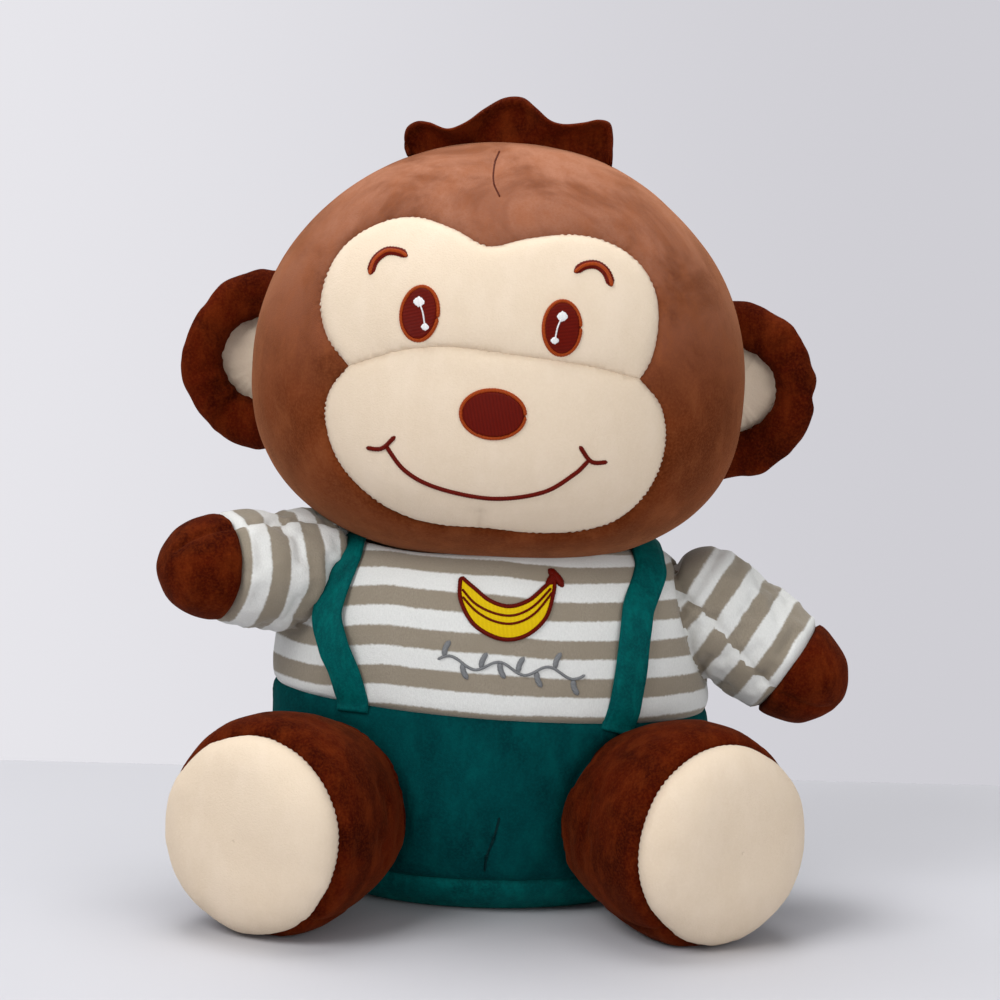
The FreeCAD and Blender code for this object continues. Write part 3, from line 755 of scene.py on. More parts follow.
def make_face():
    for side, (x, z, lean) in EYES.items():
        raised(f"eye_stitching_{side}", oval((x, z), (5.9, 8.5), lean), face_surface, "head", DARK_THREAD,
               (f"eye_{side}",), 0.7, turn=90)
        rim = rope_line(ring_line((x, z), (6.1, 8.7), lean), 1.3, face_surface)
        stitch(f"eye_rim_stitching_{side}", [rim], AMBER_THREAD, "head", (f"eye_rim_{side}",))
        to_nose = -1 if x > 0 else 1
        upper, lower = (x - 0.3, z + 3.6), (x + to_nose * 2.2, z - 4.2)
        proud = lambda xz, lift: face_surface(xz, lift + 0.65)
        lines = [rope_line([(cx - r * 0.8, cz), (cx, cz + 0.05), (cx + r * 0.8, cz)], r * 1.9, proud, 0.5)
                 for (cx, cz), r in ((upper, 2.3), (lower, 1.7))]
        bend = ((upper[0] + lower[0]) / 2 + to_nose * 0.3, z + 0.3)
        lines.append(rope_line([upper, bend, lower], 0.55, proud, 0.45))
        stitch(f"eye_highlight_stitching_{side}", lines, WHITE_THREAD, "head", (f"eye_highlight_{side}",))
        stitch(f"eyebrow_stitching_{side}", [rope_line(BROWS[side], 3.0, face_surface, 0.7)], DARK_THREAD,
               "head", (f"eyebrow_{side}",))
        core = rope_line(BROWS[side], 1.2, lambda xz, lift: face_surface(xz, lift + 0.55), 0.35)
        stitch(f"eyebrow_core_stitching_{side}", [core], AMBER_THREAD, "head", ())
    # A dark thread line along the forehead dart: its stitches, and painted shade of the narrow groove.
    stitch("forehead_dart_stitch_and_shade", [rope_line(FOREHEAD_DART, 0.6, face_surface, 0.25)], DART_SHADE_THREAD,
           "head", ())
    raised("nose_stitching", oval((0.5, -5.6), (10.2, 7.4)), face_surface, "head", DARK_THREAD, ("nose",),
           0.9, turn=0)
    rim = rope_line(ring_line((0.5, -5.6), (10.4, 7.7), 0), 1.4, face_surface)
    stitch("nose_rim_stitching", [rim], AMBER_THREAD, "head", ("nose_rim",))
    mouth = [rope_line(line, 1.5, face_surface) for line in (
        [(-34.0, -19.3), (-27.0, -27.0), (-16.0, -31.8), (1.5, -34.2), (18.0, -31.0), (28.0, -24.3),
         (32.6, -19.4)],
        [(-41.0, -20.9), (-35.5, -20.3), (-31.0, -15.6)], [(39.0, -20.0), (33.5, -19.8), (29.2, -14.6)])]
    stitch("mouth_stitching", mouth, DARK_THREAD, "head", ("mouth",))


# ---------------------------------------------------------------- torso

TORSO_A, TORSO_D, TORSO_MID, TORSO_UP, TORSO_DOWN = 78.0, 52.0, 60.0, 71.0, 66.0
TORSO_TOP = TORSO_MID + TORSO_UP
MEAN_RADIUS = 66.0
WAIST_SLOPE = math.tan(math.radians(2.5))
WAIST = 71.5
PITCH = 13.65
GREY_MIDDLE = 83.65
SEAT_SEAM = 12.5
CROTCH_DART = [(3.0, 37.0), (1.5, 30.0), (-1.0, 22.0), (-1.6, 16.0)]
DISH_BOTTOM, DISH_RADIUS, DISH_WIDER = 118.0, 90.0, 1.35


def torso_ring(z):
    """How wide the torso is at a height, as a share of its widest."""
    h = (z - TORSO_MID) / np.where(z >= TORSO_MID, TORSO_UP, TORSO_DOWN)
    n = np.where(z >= TORSO_MID, 4.0, 3.0)
    return np.maximum(1 - np.abs(h) ** n, 0) ** (1 / n)


def dish_z(x, y):
    """The hollow at the top of the torso that the head sits in."""
    inner = DISH_RADIUS ** 2 - (x / DISH_WIDER) ** 2 - y ** 2
    return DISH_BOTTOM + DISH_RADIUS - np.sqrt(np.maximum(inner, 0))


def torso_share(p):
    """Below 1 inside the torso and above 1 outside it."""
    z = p[..., 2] - TORSO_MID
    h = np.where(z >= 0, TORSO_UP, TORSO_DOWN)
    n = np.where(z >= 0, 4.0, 3.0)
    q = np.hypot(p[..., 0] / TORSO_A, p[..., 1] / TORSO_D)
    return (q ** n + np.abs(z / h) ** n) ** (1 / n)


def torso_out(p):
    """Straight out of the torso's plain form."""
    h = 1e-3
    return unit(np.stack([torso_share(p + h * e) - torso_share(p - h * e) for e in np.eye(3)], 1))


def waist_z(x):
    return WAIST - x * WAIST_SLOPE


def make_torso(limbs):
    cols = 240
    around = np.linspace(0, 2 * math.pi, cols, endpoint=False)
    rows = []
    base_ring = torso_ring(np.array(0.0))
    for share in np.linspace(0.0, 1, 15):
        r = base_ring * share
        rows.append((r * np.ones(cols), np.zeros(cols)))
    for z in np.linspace(0, SEAT_SEAM, 8)[1:]:
        rows.append((torso_ring(np.full(cols, z)), np.full(cols, z)))
    seat_rows = len(rows)
    x = TORSO_A * np.cos(around)
    for t in np.linspace(0, 1, 34)[1:]:
        z = SEAT_SEAM + (waist_z(x) - SEAT_SEAM) * t
        rows.append((torso_ring(z), z))
    waist_rows = len(rows)
    profile_z = WAIST + (TORSO_TOP - WAIST) * np.sin(np.linspace(0, math.pi / 2, 400))
    profile = np.stack([torso_ring(profile_z) * MEAN_RADIUS, profile_z], 1)
    profile = even(np.vstack([profile, [(20.0, TORSO_TOP)]]), 1.7)
    for r, z in profile[1:]:
        drop = (waist_z(x) - WAIST) * math.exp(-(z - WAIST) / 22.0)
        rows.append((np.full(cols, r / MEAN_RADIUS), np.full(cols, z) + drop))
    ring = np.array([r for r, _ in rows])
    height = np.array([z for _, z in rows])
    verts = np.stack([ring * TORSO_A * np.cos(around), ring * TORSO_D * np.sin(around), height], -1)
    dish = dish_z(verts[..., 0], verts[..., 1])
    top = np.arange(len(rows))[:, None] > waist_rows + 10
    verts[..., 2] = np.where(top, np.minimum(verts[..., 2], dish), verts[..., 2])
    verts = verts.reshape(-1, 3)
    faces = grid_faces(len(rows), cols)
    row_of = np.repeat(np.arange(len(rows) - 1), cols)
    col_of = np.tile(np.arange(cols), len(rows) - 1)
    back = col_of < cols // 2
    labels = np.where(row_of < seat_rows - 1, 0, np.where(row_of < waist_rows - 1, 1, 3))
    labels = np.where((labels > 0) & back, labels + 1, labels)

    faces = turned(verts, faces, (verts[:, 2:] > 120) * vec(0, 0, 1))
    seams = seam_points(verts, faces, labels)
    dart = torso_front(np.array(CROTCH_DART), 0.0)[0]
    blown = stuffed_grid(verts, len(rows), cols, (seat_rows - 1, waist_rows - 1), (0, cols // 2), (4, 3),
                         grow=0.05, cap=2.4)
    above = verts[:, 2:]
    in_dish = np.repeat(top, cols, axis=1).reshape(-1, 1) & (above >= dish.reshape(-1, 1) - 0.01)
    blown = np.where((above > 1) & ~in_dish, blown, verts)
    seams = np.vstack([snapped(seams, blown), snapped(curve_through(dart, 0.8), blown)])
    shaped = sew(blown, faces, seams, 1.2, 1.5, 0.7, 0.5, 6.0, 7.0, 11)
    for distance in limbs:
        d = distance(shaped)
        shaped = shaped - normals_of(shaped, faces) * (2.2 * np.exp(-(np.abs(d) / 2.4) ** 1.5))[:, None]
    soft = 0.9 * noise(shaped, 34.0, 12) + 0.25 * noise(shaped, 9.0, 13)
    shaped = shaped + normals_of(shaped, faces) * (soft * smooth(shaped[:, 2] / 8))[:, None]
    shaped[:, 2] = np.maximum(shaped[:, 2], 0.0)
    CLOTH_OF["torso"] = BVHTree.FromPolygons(shaped.tolist(), faces.tolist())
    rise = np.linspace(WAIST - 8, TORSO_TOP, 300)
    arc = np.r_[0, np.cumsum(np.hypot(np.diff(rise), 60 * np.diff(torso_ring(rise))))]
    level = verts[:, 2] + verts[:, 0] * WAIST_SLOPE
    level = level + 5.3 * smooth((-verts[:, 0] - 35.0) / 35.0)  # the stripes dip on the right flank
    stripe = (np.interp(level, rise, arc) - np.interp(GREY_MIDDLE, rise, arc)) / PITCH + 3
    stripe += 0.05 * noise(verts * vec(1, 1, 0.6), 22.0, 15)
    table = {
        # The seat panel wears the straps' lighter teal as painted light: a lighter band where the pile catches
        # the light.
        0: ("seat_base_panel", STRAP_AND_LIT_SEAT, "torso", ("seat_panel",), "teal_plush"),
        1: ("trousers_front_panel", TEAL, "torso", ("trousers_front", "torso_filling"), "teal_plush"),
        2: ("trousers_back_panel", TEAL, "torso", ("trousers_back",), "teal_plush"),
        3: ("shirt_front_panel", STRIPED, "torso", ("shirt_front", "neck_filling"), "striped_plush"),
        4: ("shirt_back_panel", STRIPED, "torso", ("shirt_back",), "striped_plush"),
    }
    cloth_panels(shaped, faces, labels, table, values={"stripe": stripe})


# ---------------------------------------------------------------- limbs

class Limb:
    """A tube about an axis from a pivot. rows are (along, half height, half width, lift)."""

    def __init__(self, pivot, yaw, lift, rows, cols, step):
        self.pivot = pivot
        self.turn = rotation("Z", yaw) @ rotation("Y", -lift)
        key = np.array(rows, float)
        line = curve_through(key, step)
        self.key = line
        self.cols = cols
        around = np.linspace(0, 2 * math.pi, cols, endpoint=False)
        self.around = around
        s, tall, wide, up = line.T
        local = np.stack([s[:, None] * np.ones(cols), wide[:, None] * np.cos(around),
                          tall[:, None] * np.sin(around) + up[:, None]], -1)
        self.along = np.repeat(s, cols)
        self.local = local.reshape(-1, 3)
        self.rows = len(line)
        self.faces = grid_faces(self.rows, cols)
        self.verts = self.to_world(self.local)

    def row_at(self, along):
        return int(np.argmin(np.abs(self.key[:, 0] - along)))

    def seam(self, s, angle, side, spacing):
        """The vertices of a line along the tube, at some angle above level on its side 1 or -1."""
        radius = np.interp(s, self.key[:, 0], self.key[:, 1])
        line = self.to_world(np.stack([s, -side * radius * np.cos(angle), radius * np.sin(angle)], 1))
        return snapped(curve_through(line, spacing), self.verts)

    def teeth(self, along, size):
        """Pulls the ring of vertices nearest a seam into small teeth."""
        at = self.row_at(along) * self.cols + np.arange(self.cols)
        step = unit(self.verts[at + self.cols] - self.verts[at])
        sign = np.where(np.arange(self.cols) % 2 < 1, 1, -1)
        self.verts[at] += step * (size * sign * (0.7 + 0.5 * noise(self.verts[at], 6.0, 8)))[:, None]

    def blow_up(self, seam_rows, seam_cols, **how):
        tip = int(np.argmax(np.minimum(self.key[:, 1], self.key[:, 2])[self.rows // 2:] < 9.0)) + self.rows // 2
        self.verts = stuffed_grid(self.verts, self.rows, self.cols, seam_rows, seam_cols, end=tip, **how)

    def to_world(self, p):
        return p @ self.turn.T + self.pivot

    def distance(self, points):
        """Roughly how far points are from the tube's side, below 0 inside it."""
        p = (points - self.pivot) @ self.turn
        order = np.argsort(self.key[:, 0], kind="stable")
        s = self.key[order, 0]
        tall, wide, up = (np.interp(p[:, 0], s, self.key[order, k]) for k in (1, 2, 3))
        d = (np.hypot(p[:, 1] / wide, (p[:, 2] - up) / tall) - 1) * (tall + wide) / 2
        return np.where((p[:, 0] > s[0] - 2) & (p[:, 0] < s[-1]), d, 99.0)


ARMS = {
    "right": dict(pivot=vec(-67.3, -10.6, 115.4), yaw=180 + 31.0, lift=5.0),
    "left": dict(pivot=vec(76.5, -5.4, 104.4), yaw=-7.0, lift=-33.5),
}
ARM_ROWS = [(-19, 5, 5, 0), (-15.5, 13, 12.5, 0), (-8, 19.2, 18.6, 0), (2, 20.8, 20, 0),
            (13, 20.4, 19.6, 0), (24, 19.6, 19.0, 0), (33, 18.2, 17.8, 0), (41, 16.6, 16.4, 0),
            (48, 13.6, 13.6, 0), (53, 9.2, 9.2, 0), (55.8, 4.0, 4.2, 0), (56.3, 0.05, 0.05, 0)]
PAW_SEAM = 35.0
LEGS = {
    "right": dict(pivot=vec(-55.0, -33.0, 35.3), yaw=-90 - 30.0, lift=0.0),
    "left": dict(pivot=vec(49.0, -33.0, 35.3), yaw=-90 + 33.0, lift=0.0),
}
LEG_ROWS = [(-20, 12, 12, 0), (-14, 21, 21, 0), (-4, 27.5, 27, 0), (8, 31.0, 30.5, 0),
            (20, 34.4, 33.4, 0.3), (32, 36.2, 35.3, 0.7), (42, 36.4, 35.6, 0.8), (49, 35.2, 34.9, 0.4),
            (53.0, 33.6, 33.6, 0.0), (57.5, 30.4, 30.6, 0), (60.8, 24.0, 24.4, 0), (62.6, 15.0, 15.4, 0),
            (63.2, 6.0, 6.0, 0), (63.3, 0.05, 0.05, 0)]
SOLE_SEAM = 51.5
TABLE_GIVE = 0.6


def gathered(p, faces, seed, sink, fold, lump):
    """Cloth sunk where it meets the torso, gathered beside that, lumpy all over and flat on the table.

    sink is (depth, width), fold (height, size, reach) and lump (height, size, size of the small ones).
    """
    out = normals_of(p, faces)
    gap = (torso_share(p) - 1) * MEAN_RADIUS
    p = p - out * (sink[0] * np.exp(-(np.abs(gap) / sink[1]) ** 1.5))[:, None]
    ripple = noise(p, fold[1], seed) * np.exp(-np.maximum(gap, 0) / fold[2])
    p = p + out * (fold[0] * ripple * (gap > -4))[:, None]
    p = p + out * (lump[0] * noise(p, lump[1], seed + 1) + 0.2 * noise(p, lump[2], seed + 2))[:, None]
    low = p[:, 2] < TABLE_GIVE
    p[low, 2] = TABLE_GIVE * np.exp((p[low, 2] - TABLE_GIVE) / TABLE_GIVE)
    return p


def finish_limb(limb, labels, seam, table, seeds, relief, sewing, values=None):
    """Sews and gathers a limb and cuts it into panels. seeds are for the puckers and for the folds."""
    faces = turned(limb.verts, limb.faces, (limb.local * vec(0, 1, 1)) @ limb.turn.T)
    seams = np.vstack([seam_points(limb.verts, faces, labels), seam])
    shaped = gathered(sew(limb.verts, faces, seams, seed=seeds[0], **sewing), faces, seeds[1], *relief)
    cloth_panels(shaped, faces, labels, table, values=values)


def make_arms():
    limbs = []
    for k, (side, place) in enumerate(ARMS.items()):
        arm = Limb(rows=ARM_ROWS, cols=112, step=1.25, **place)
        limbs.append(arm)
        cuff = arm.row_at(PAW_SEAM)
        labels = np.where(np.arange(len(arm.faces)) // arm.cols < cuff, 0, 1)
        arm.blow_up((arm.row_at(-8), cuff), (), grow=0.06, cap=2.0)
        # a long seam runs down the front of the sleeve and over the paw
        front = 1 if side == "left" else -1

        def angle(s, side=side):
            return np.radians(6.0 - 26.0 * smooth((s + 8.0) / 44.0) if side == "left" else 60.0 + 0 * s)

        s = np.linspace(-16, 54, 60)
        seam = arm.seam(s, angle(s) + 0.05 * np.sin(s / 9.0), front, 0.8)
        turn_about = np.arctan2(arm.local[:, 2], -front * arm.local[:, 1])
        below = smooth((angle(arm.along) - turn_about) / 0.02)
        stripe = arm.along / PITCH + 0.42 * below + 0.02 * np.sin(turn_about * 2)
        body = ("torso", f"arm_{side}", arm.to_world(vec(-2, 0, 0)), arm.to_world(vec(20, 0, 0)))
        table = {0: (f"sleeve_panel_{side}", STRIPED, body, (f"sleeve_{side}", f"arm_filling_{side}"),
                     "striped_plush"),
                 1: (f"paw_panel_{side}", DARK_BROWN, f"arm_{side}", (f"paw_{side}",), "brown_plush")}
        finish_limb(arm, labels, seam, table, (30 + k, 20 + k),
                    ((2.0, 2.2), (1.1, 8.0, 9.0), (0.5, 16.0, 5.0)),
                    dict(depth=1.1, width=1.3, crown=0.8, pucker=0.7, pucker_size=4.0, reach=5.0),
                    {"stripe": stripe})
    return limbs


def make_legs():
    limbs = []
    for k, (side, place) in enumerate(LEGS.items()):
        leg = Limb(rows=LEG_ROWS, cols=180, step=1.5, **place)
        limbs.append(leg)
        sole = leg.row_at(SOLE_SEAM)
        labels = np.where(np.arange(len(leg.faces)) // leg.cols < sole, 0, 1)
        leg.blow_up((leg.row_at(-6), sole), (), every=(3, 4), grow=0.04, cap=1.8)
        leg.teeth(SOLE_SEAM, 0.35)
        inner = 1 if side == "left" else -1
        seam = leg.seam(np.linspace(-16, 53, 50), math.radians(-52), inner, 1.0)
        body = ("torso", f"leg_{side}", leg.to_world(vec(0, 0, 0)), leg.to_world(vec(24, 0, 0)))
        table = {0: (f"leg_panel_{side}", DARK_BROWN, body, (f"leg_skin_{side}", f"leg_filling_{side}"),
                     "brown_plush"),
                 1: (f"sole_panel_{side}", CREAM, f"leg_{side}", (f"sole_{side}",), "cream_plush")}
        finish_limb(leg, labels, seam, table, (60 + k, 50 + k),
                    ((2.4, 2.4), (1.0, 9.0, 8.0), (0.8, 24.0, 7.0)),
                    dict(crown=0.8, pucker=0.6))
    return limbs


# ---------------------------------------------------------------- ears and tuft

def make_ears():
    cols, patch_rows, ring_rows, back_rows = 168, 14, 24, 24
    patch_x, rim_x = 83.0, 80.0
    around = np.linspace(0, 2 * math.pi, cols, endpoint=False)
    for side, sign in (("right", -1), ("left", 1)):
        seed, body = 80 + sign, f"ear_{side}"
        wave = np.stack([np.cos(around), np.sin(around), np.full(cols, sign)], 1) * 30
        rim = 33.2 + 1.3 * noise(wave, 13.0, seed) + 0.7 * noise(wave, 6.0, seed + 1)
        edge = 14.6 + 0.35 * noise(wave, 3.0, seed + 2)
        fold = noise(wave, 6.0, seed + 3)
        rows = []
        for t in np.linspace(0, 1, patch_rows):
            r = edge * t
            rows.append((patch_x + r * np.cos(around), r * np.sin(around),
                         1.6 + 2.2 * (1 - t ** 2) + 0 * around))
        for t in np.linspace(0, 1, ring_rows)[1:]:
            x = (patch_x + edge * np.cos(around)) * (1 - t) + (rim_x + rim * np.cos(around)) * t
            z = edge * np.sin(around) * (1 - t) + rim * np.sin(around) * t
            swell = np.sqrt(max(1 - abs(2 * t ** 0.8 - 1) ** 2.6, 0))
            rows.append((x, z, 1.2 * (1 - t) + 6.6 * swell * (1 + 0.22 * fold)))
        front_rows = len(rows)
        for t in np.linspace(1, 0, back_rows)[1:]:
            r = rim * t
            rows.append((rim_x + r * np.cos(around), r * np.sin(around),
                         -5.0 * (1 - t ** 3) * (1 + 0.1 * fold)))
        x, z, proud = (np.array(v) for v in zip(*rows))
        cup = -8.0 * smooth((x - 88) / 26.0)
        verts = np.stack([sign * x, 9.0 + cup - proud, z], -1).reshape(-1, 3)
        faces = grid_faces(len(rows), cols)
        faces = turned(verts, faces, (np.arange(len(verts)) < front_rows * cols)[:, None] * vec(0, FRONT, 0))
        row_of = np.arange(len(faces)) // cols
        labels = np.where(row_of < patch_rows - 1, 1, np.where(row_of < front_rows - 1, 0, 2))
        seams = seam_points(verts, faces, labels)
        shaped = sew(verts, faces, seams, 0.9, 1.2, 0.3, 0.7, 4.0, 5.0, seed + 5)
        out = normals_of(shaped, faces)
        shaped += out * (0.5 * noise(shaped, 11.0, seed + 6) + 0.15 * noise(shaped, 4.0, seed + 7))[:, None]
        table = {0: (f"ear_front_panel_{side}", DARK_BROWN, body,
                     (f"ear_front_{side}", f"ear_filling_{side}"), "brown_plush"),
                 1: (f"ear_patch_panel_{side}", CREAM, body, (f"ear_patch_{side}",), "cream_plush"),
                 2: (f"ear_back_panel_{side}", DARK_BROWN, body, (f"ear_back_{side}",), "brown_plush")}
        cloth_panels(head_to_world(shaped), faces, labels, table, out @ HEAD_TURN.T)


TUFT_TOP = [(-36.5, 76), (-38.6, 80.5), (-38.0, 85.0), (-34.5, 87.6), (-30, 87.6), (-23.5, 86.0),
            (-17.5, 88.5), (-11, 93.6), (-4.5, 97.6), (2.0, 98.2), (7.0, 95.2), (12.5, 91.2), (18, 90.2),
            (24, 91.2), (29.0, 92.4), (33.2, 91.4), (34.6, 87.0), (34.8, 82.0), (34.2, 76)]
CROWN = 82.0


def make_tuft():
    top = curve_through(TUFT_TOP, 0.7)
    cols, rows = len(top), 30
    x_base = np.linspace(-35.5, 33.5, cols)
    base_z = CROWN * np.sqrt(1 - (x_base / HEAD_A) ** 2) - 2.0
    share = np.linspace(0, 1, rows)[:, None]
    x = x_base * (1 - share) + top[:, 0] * share
    z = base_z * (1 - share) + top[:, 1] * share
    run = np.linspace(0, 1, cols)
    ruffle = 3.4 * np.sin(run * 2 * math.pi * 2.6 + 0.2) + 1.2 * np.sin(run * 2 * math.pi * 6.1)
    ruffle = ruffle * share ** 0.9
    lean = -5.0 * share ** 1.6
    for name, face, node in (("tuft_front_panel", FRONT, "tuft_front"),
                             ("tuft_back_panel", BACK, "tuft_back")):
        roll = 1.5 + 1.3 * np.exp(-((share - 0.9) / 0.11) ** 2) + 0.9 * np.exp(-((share - 0.1) / 0.2) ** 2)
        ends = np.sqrt(np.clip(1 - np.abs(2 * run - 1) ** 24, 0, 1))
        puff = roll * np.sqrt(np.clip(1 - share ** 22, 0, 1)) * ends
        y = 4.5 + ruffle + lean + face * (puff + 0.03)
        verts = np.stack([x * np.ones_like(y), y, z * np.ones_like(y)], -1).reshape(-1, 3)
        faces = grid_faces(rows, cols, wrap=False)
        faces = turned(verts, faces, vec(0, face, 0))
        inner = np.clip(1.2 - np.repeat(share[:, 0], cols), 0, 1)
        wrinkle = (0.5 * noise(verts * vec(1, 0.3, 0.3), 4.0, 91) + 0.35 * noise(verts, 9.0, 92)) * inner
        verts = verts + normals_of(verts, faces) * wrinkle[:, None]
        out = normals_of(verts, faces)
        both, polygons = thick(verts, faces, -out, 0.8)
        mesh(name, head_to_world(both), polygons, DARK_BROWN, "tuft", (node,))


# ---------------------------------------------------------------- straps and chest embroidery

def torso_front(xz, lift):
    """Points on the front of the torso that lie lift outside it."""
    x, z = xz[:, 0], xz[:, 1]
    ring = torso_ring(z)
    y = -TORSO_D * np.sqrt(np.maximum(ring ** 2 - (x / TORSO_A) ** 2, 0.0))
    p = np.stack([x, y, z], 1)
    out = torso_out(p)
    if "torso" in CLOTH_OF:
        p = on_cloth(p, out, CLOTH_OF["torso"])
    return p + out * lift, out


STRAPS = {
    "right": [(-49.2, 71.0, 0.2), (-49.4, 76.0, 0.6), (-50.8, 83.0, 1.6), (-53.4, 91.0, 2.6), (-56.2, 98.5, 2.8),
              (-57.2, 104.0, 2.6), (-56.0, 109.5, 2.0)],
    "left": [(42.8, 66.5, 0.2), (44.6, 74.0, 0.8), (46.2, 86.0, 1.2), (47.2, 98.0, 1.6), (48.6, 109.5, 1.2)],
}
STRAP_TOPS = {"right": (-53.0, -46.0), "left": (54.0, 50.0)}
STRAP_HALF = 6.0


def torso_top(x, y):
    q = np.hypot(x / TORSO_A, y / TORSO_D)
    dome = TORSO_MID + TORSO_UP * np.maximum(1 - q ** 4, 0) ** 0.25
    return np.minimum(dome, dish_z(x, y))


def make_straps():
    for side, points in STRAPS.items():
        line = curve_through(points, 3.0)
        centre, out = torso_front(line[:, :2], 0.2)
        centre = centre + out * line[:, 2:3]
        over, behind = STRAP_TOPS[side]
        y = np.linspace(-26.0, 30.0, 12)
        x = over + (behind - over) * (y + 26) / 56
        shoulder = np.stack([x, y, torso_top(x, y) + 2.0], 1)
        z = np.array((106.0, 96.0, 86.0, 76.0, 66.0))
        x = behind + np.sign(over) * (z - 106.0) * 0.1
        depth = TORSO_D * np.sqrt(torso_ring(z) ** 2 - (x / TORSO_A) ** 2)
        back = np.stack([x, depth + 2.0, z], 1)
        path = curve_through(np.vstack([centre, shoulder, back]), 1.0)
        for _ in range(6):
            path[1:-1] = (path[:-2] + 2 * path[1:-1] + path[2:]) / 4
        along = unit(np.gradient(path, axis=0))
        up = torso_out(path)
        up = unit(np.stack([np.convolve(np.pad(up[:, k], 10, "edge"), np.ones(21) / 21, "valid")
                            for k in range(3)], 1))
        wide = unit(np.cross(along, up))
        up = np.cross(wide, along)
        cols = 21
        across = np.linspace(-1, 1, cols)
        tilt = 0.9 * noise(path, 20.0, 101) + 0.35 * noise(path, 8.0, 102)
        body = 0.55 + 0.55 * (1 - across ** 6) - 0.5 * np.exp(-((np.abs(across) - 0.86) / 0.06) ** 2)
        fold = 0.9 * np.exp(-((path[:, 2] - 92.0) / 3.5) ** 2) * (path[:, 1] < 0) * (side == "right")
        rise = body[None, :] + tilt[:, None] * across[None, :] + fold[:, None] * across[None, :] ** 2
        verts = (path[:, None] + wide[:, None] * (across * STRAP_HALF)[None, :, None]
                 + up[:, None] * rise[..., None])
        flat = verts.reshape(-1, 3)
        faces = grid_faces(len(path), cols, wrap=False)
        faces = turned(flat, faces, np.repeat(up, cols, axis=0))
        both, polygons = thick(flat, faces, -normals_of(flat, faces), 1.1)
        mesh(f"strap_ribbon_{side}", both, polygons, STRAP_AND_LIT_SEAT, "torso", (f"strap_{side}",))


BANANA_OUTER = [(-12.8, 119.4), (-12.6, 112.5), (-8.5, 105.2), (-2.0, 101.0), (4.5, 99.8), (11.0, 101.8),
                (16.6, 107.2), (19.0, 115.0), (19.4, 119.5)]
BANANA_INNER = [(19.4, 119.5), (16.0, 116.8), (10.6, 112.6), (4.0, 110.6), (-2.5, 112.2), (-8.0, 116.0),
                (-12.8, 119.4)]
BANANA_RIDGES = ([(-12.4, 115.8), (-7.6, 111.2), (-1.0, 108.3), (5.6, 107.8), (12.0, 110.6), (18.4, 116.6)],
                 [(-12.2, 113.4), (-7.0, 108.6), (-0.6, 105.6), (6.0, 105.2), (12.6, 108.4), (18.8, 115.4)])
BANANA_STALK = [(16.4, 117.4), (18.6, 119.2), (20.0, 121.4)]
BANANA_TIP = [(17.2, 122.2), (20.4, 119.6), (22.6, 117.0)]


def chest_line(points, width, height=0.8):
    return rope_line(points, width, torso_front, height)


def make_chest():
    # A dark thread line along the crotch dart: its stitches, and painted shade of the narrow groove.
    stitch("trousers_dart_stitch_and_shade", [chest_line(CROTCH_DART, 0.9, 0.3)], TEAL_DART_SHADE_THREAD, "torso", ())
    outline = np.vstack([curve_through(BANANA_OUTER, 0.6)[:-1], curve_through(BANANA_INNER, 0.6)[:-1]])
    raised("banana_stitching", outline, torso_front, "torso", YELLOW_THREAD, ("banana_fruit",),
           0.7, turn=0)
    lines = [chest_line(BANANA_OUTER, 1.7, 1.2), chest_line(BANANA_INNER, 1.6, 1.2)]
    lines += [chest_line(ridge, 1.1, 1.15) for ridge in BANANA_RIDGES]
    lines += [chest_line(BANANA_STALK, 3.0, 1.3), chest_line(BANANA_TIP, 2.6, 1.3)]
    stitch("banana_outline_stitching", lines, DARK_THREAD, "torso", ("banana_outline",))
    stem = [(-20.0 + 51.0 * t, 92.0 - 4.5 * t + 1.8 * math.sin(2 * math.pi * 3 * t))
            for t in np.linspace(0, 1, 25)]
    lines = [chest_line(stem, 1.0)]
    for i in range(1, 24, 3):
        x, z = stem[i]
        up = 1 if i % 2 else -1
        lines.append(chest_line([(x, z), (x + 0.5, z + up * 3.0), (x + 2.0, z + up * 5.6)], 2.0))
    stitch("chest_vine_stitching", lines, GREY_THREAD, "torso", ("chest_vine",))


# ---------------------------------------------------------------- build

arms = make_arms()
legs = make_legs()
make_torso([limb.distance for limb in arms + legs])
make_head()
make_face()
make_ears()
make_tuft()
make_straps()
make_chest()


# ---------------------------------------------------------------- studio

def area_light(name, place, size, power):
    lamp = bpy.data.lights.new(name, "AREA")
    lamp.size, lamp.energy = size, power
    shown = added(name, lamp)
    shown.location = place
    shown.rotation_euler = (Vector((0, 0, 0.13)) - Vector(place)).to_track_quat("-Z", "Y").to_euler()


TABLE_BACK, TABLE_HALF = 0.21, 0.9


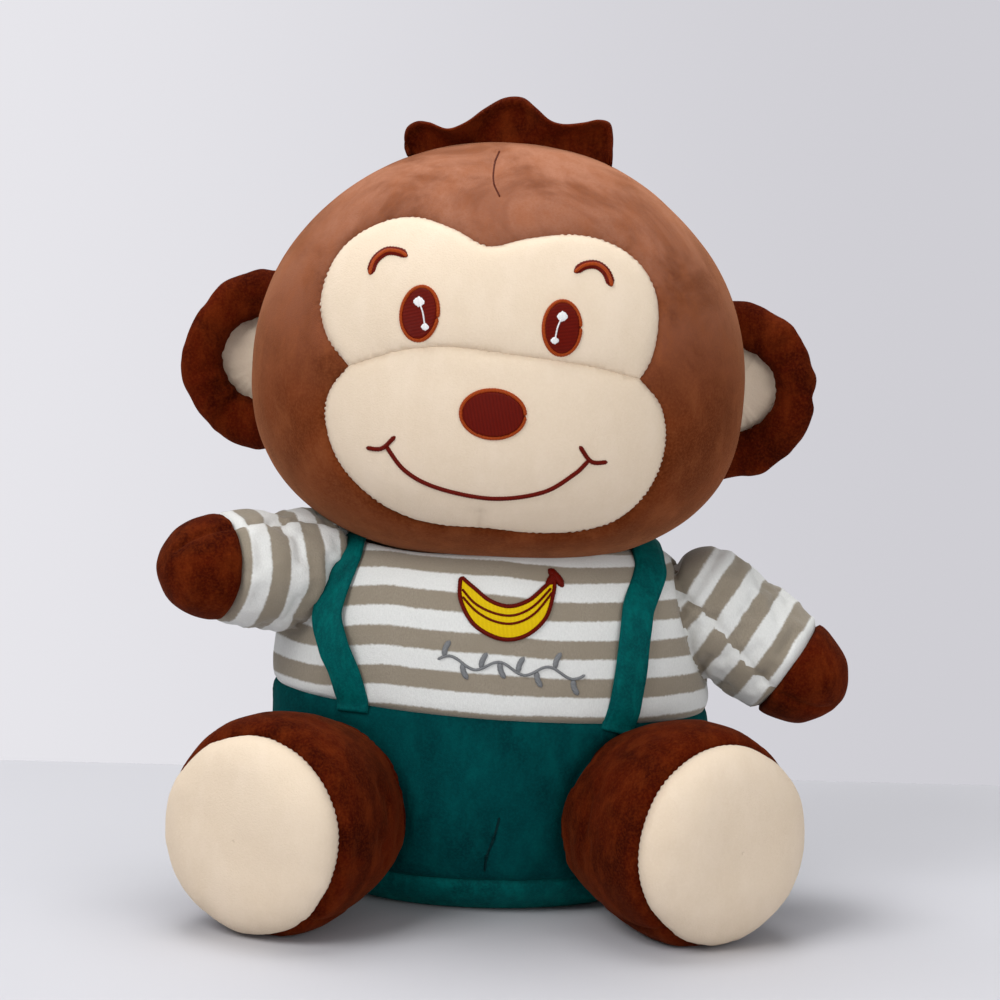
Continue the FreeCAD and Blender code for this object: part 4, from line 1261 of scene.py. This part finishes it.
def make_studio():
    """A pale table top, and a wall that the world stands for, with painted light: lighter on the left, darker on
    the right.
    """
    # Painted light on the wall: lighter on the left, where the light comes from, and darker on the right.
    left, right = linear(232, 231, 236), linear(207, 206, 212)
    data = bpy.data.meshes.new("studio_floor")
    data.from_pydata([(x, y, -0.0003) for x, y in ((-TABLE_HALF, -TABLE_HALF), (TABLE_HALF, -TABLE_HALF),
                                                   (TABLE_HALF, TABLE_BACK), (-TABLE_HALF, TABLE_BACK))], [],
                     [(0, 1, 2, 3)])
    floor = added("studio_floor", data)
    n = Nodes("studio_paper")
    n.finish(Base_Color=n.mix(n.noise(300.0), linear(193, 193, 198), linear(196, 196, 201)), Roughness=0.8)
    data.materials.append(n.material)
    area_light("key_light", (-1.0, -1.0, 1.3), 0.9, 18.0)
    area_light("fill_light", (1.0, -1.5, 0.45), 1.3, 11.0)
    area_light("top_light", (-0.1, 0.3, 1.5), 0.9, 16.0)
    world = bpy.data.worlds.new("studio_world")
    world.use_nodes = True
    tree = world.node_tree
    sky = tree.nodes["Background"]
    seen = tree.nodes.new("ShaderNodeBackground")
    toward = tree.nodes.new("ShaderNodeTexCoord")
    parts = tree.nodes.new("ShaderNodeSeparateXYZ")
    share = tree.nodes.new("ShaderNodeMapRange")
    share.interpolation_type = "SMOOTHSTEP"
    share.inputs["From Min"].default_value, share.inputs["From Max"].default_value = -0.16, 0.16
    painted_wall_light = tree.nodes.new("ShaderNodeMix")
    painted_wall_light.data_type = "RGBA"
    painted_wall_light.inputs[6].default_value, painted_wall_light.inputs[7].default_value = (*left, 1), (*right, 1)
    path = tree.nodes.new("ShaderNodeLightPath")
    choose = tree.nodes.new("ShaderNodeMixShader")
    for a, b in ((toward.outputs["Generated"], parts.inputs[0]), (parts.outputs["X"], share.inputs["Value"]),
                 (share.outputs["Result"], painted_wall_light.inputs[0]), (painted_wall_light.outputs[2], seen.inputs["Color"]),
                 (path.outputs["Is Camera Ray"], choose.inputs[0]), (sky.outputs[0], choose.inputs[1]),
                 (seen.outputs[0], choose.inputs[2]),
                 (choose.outputs[0], tree.nodes["World Output"].inputs["Surface"])):
        tree.links.new(a, b)
    sky.inputs["Color"].default_value = (0.92, 0.92, 0.94, 1)
    sky.inputs["Strength"].default_value = 0.42
    bpy.context.scene.world = world
    bpy.context.scene.view_settings.view_transform = "Standard"


def make_camera():
    """The photograph's viewpoint: almost straight ahead, a little above, leaning slightly."""
    azimuth, elevation, roll = (math.radians(degrees) for degrees in (-1.5, 8.0, 1.8))
    distance, span = 1250.0, 357.0
    back = vec(math.sin(azimuth) * math.cos(elevation), -math.cos(azimuth) * math.cos(elevation),
               math.sin(elevation))
    side = vec(math.cos(azimuth), math.sin(azimuth), 0)
    above = np.cross(back, side)
    right = side * math.cos(roll) + above * math.sin(roll)
    up = -side * math.sin(roll) + above * math.cos(roll)
    target = (vec(1.0, 0.0, 141.0) + TO_ORIGIN) * 0.001
    lens = bpy.data.cameras.new("camera")
    lens.sensor_width = 36.0
    lens.lens = 36.0 * distance / span
    lens.clip_start, lens.clip_end = 0.05, 20.0
    camera = added("camera", lens)
    matrix = Matrix(np.stack([right, up, back], 1).tolist()).to_4x4()
    matrix.translation = Vector(target + back * distance * 0.001)
    camera.matrix_world = matrix
    bpy.context.scene.camera = camera


make_studio()
make_camera()
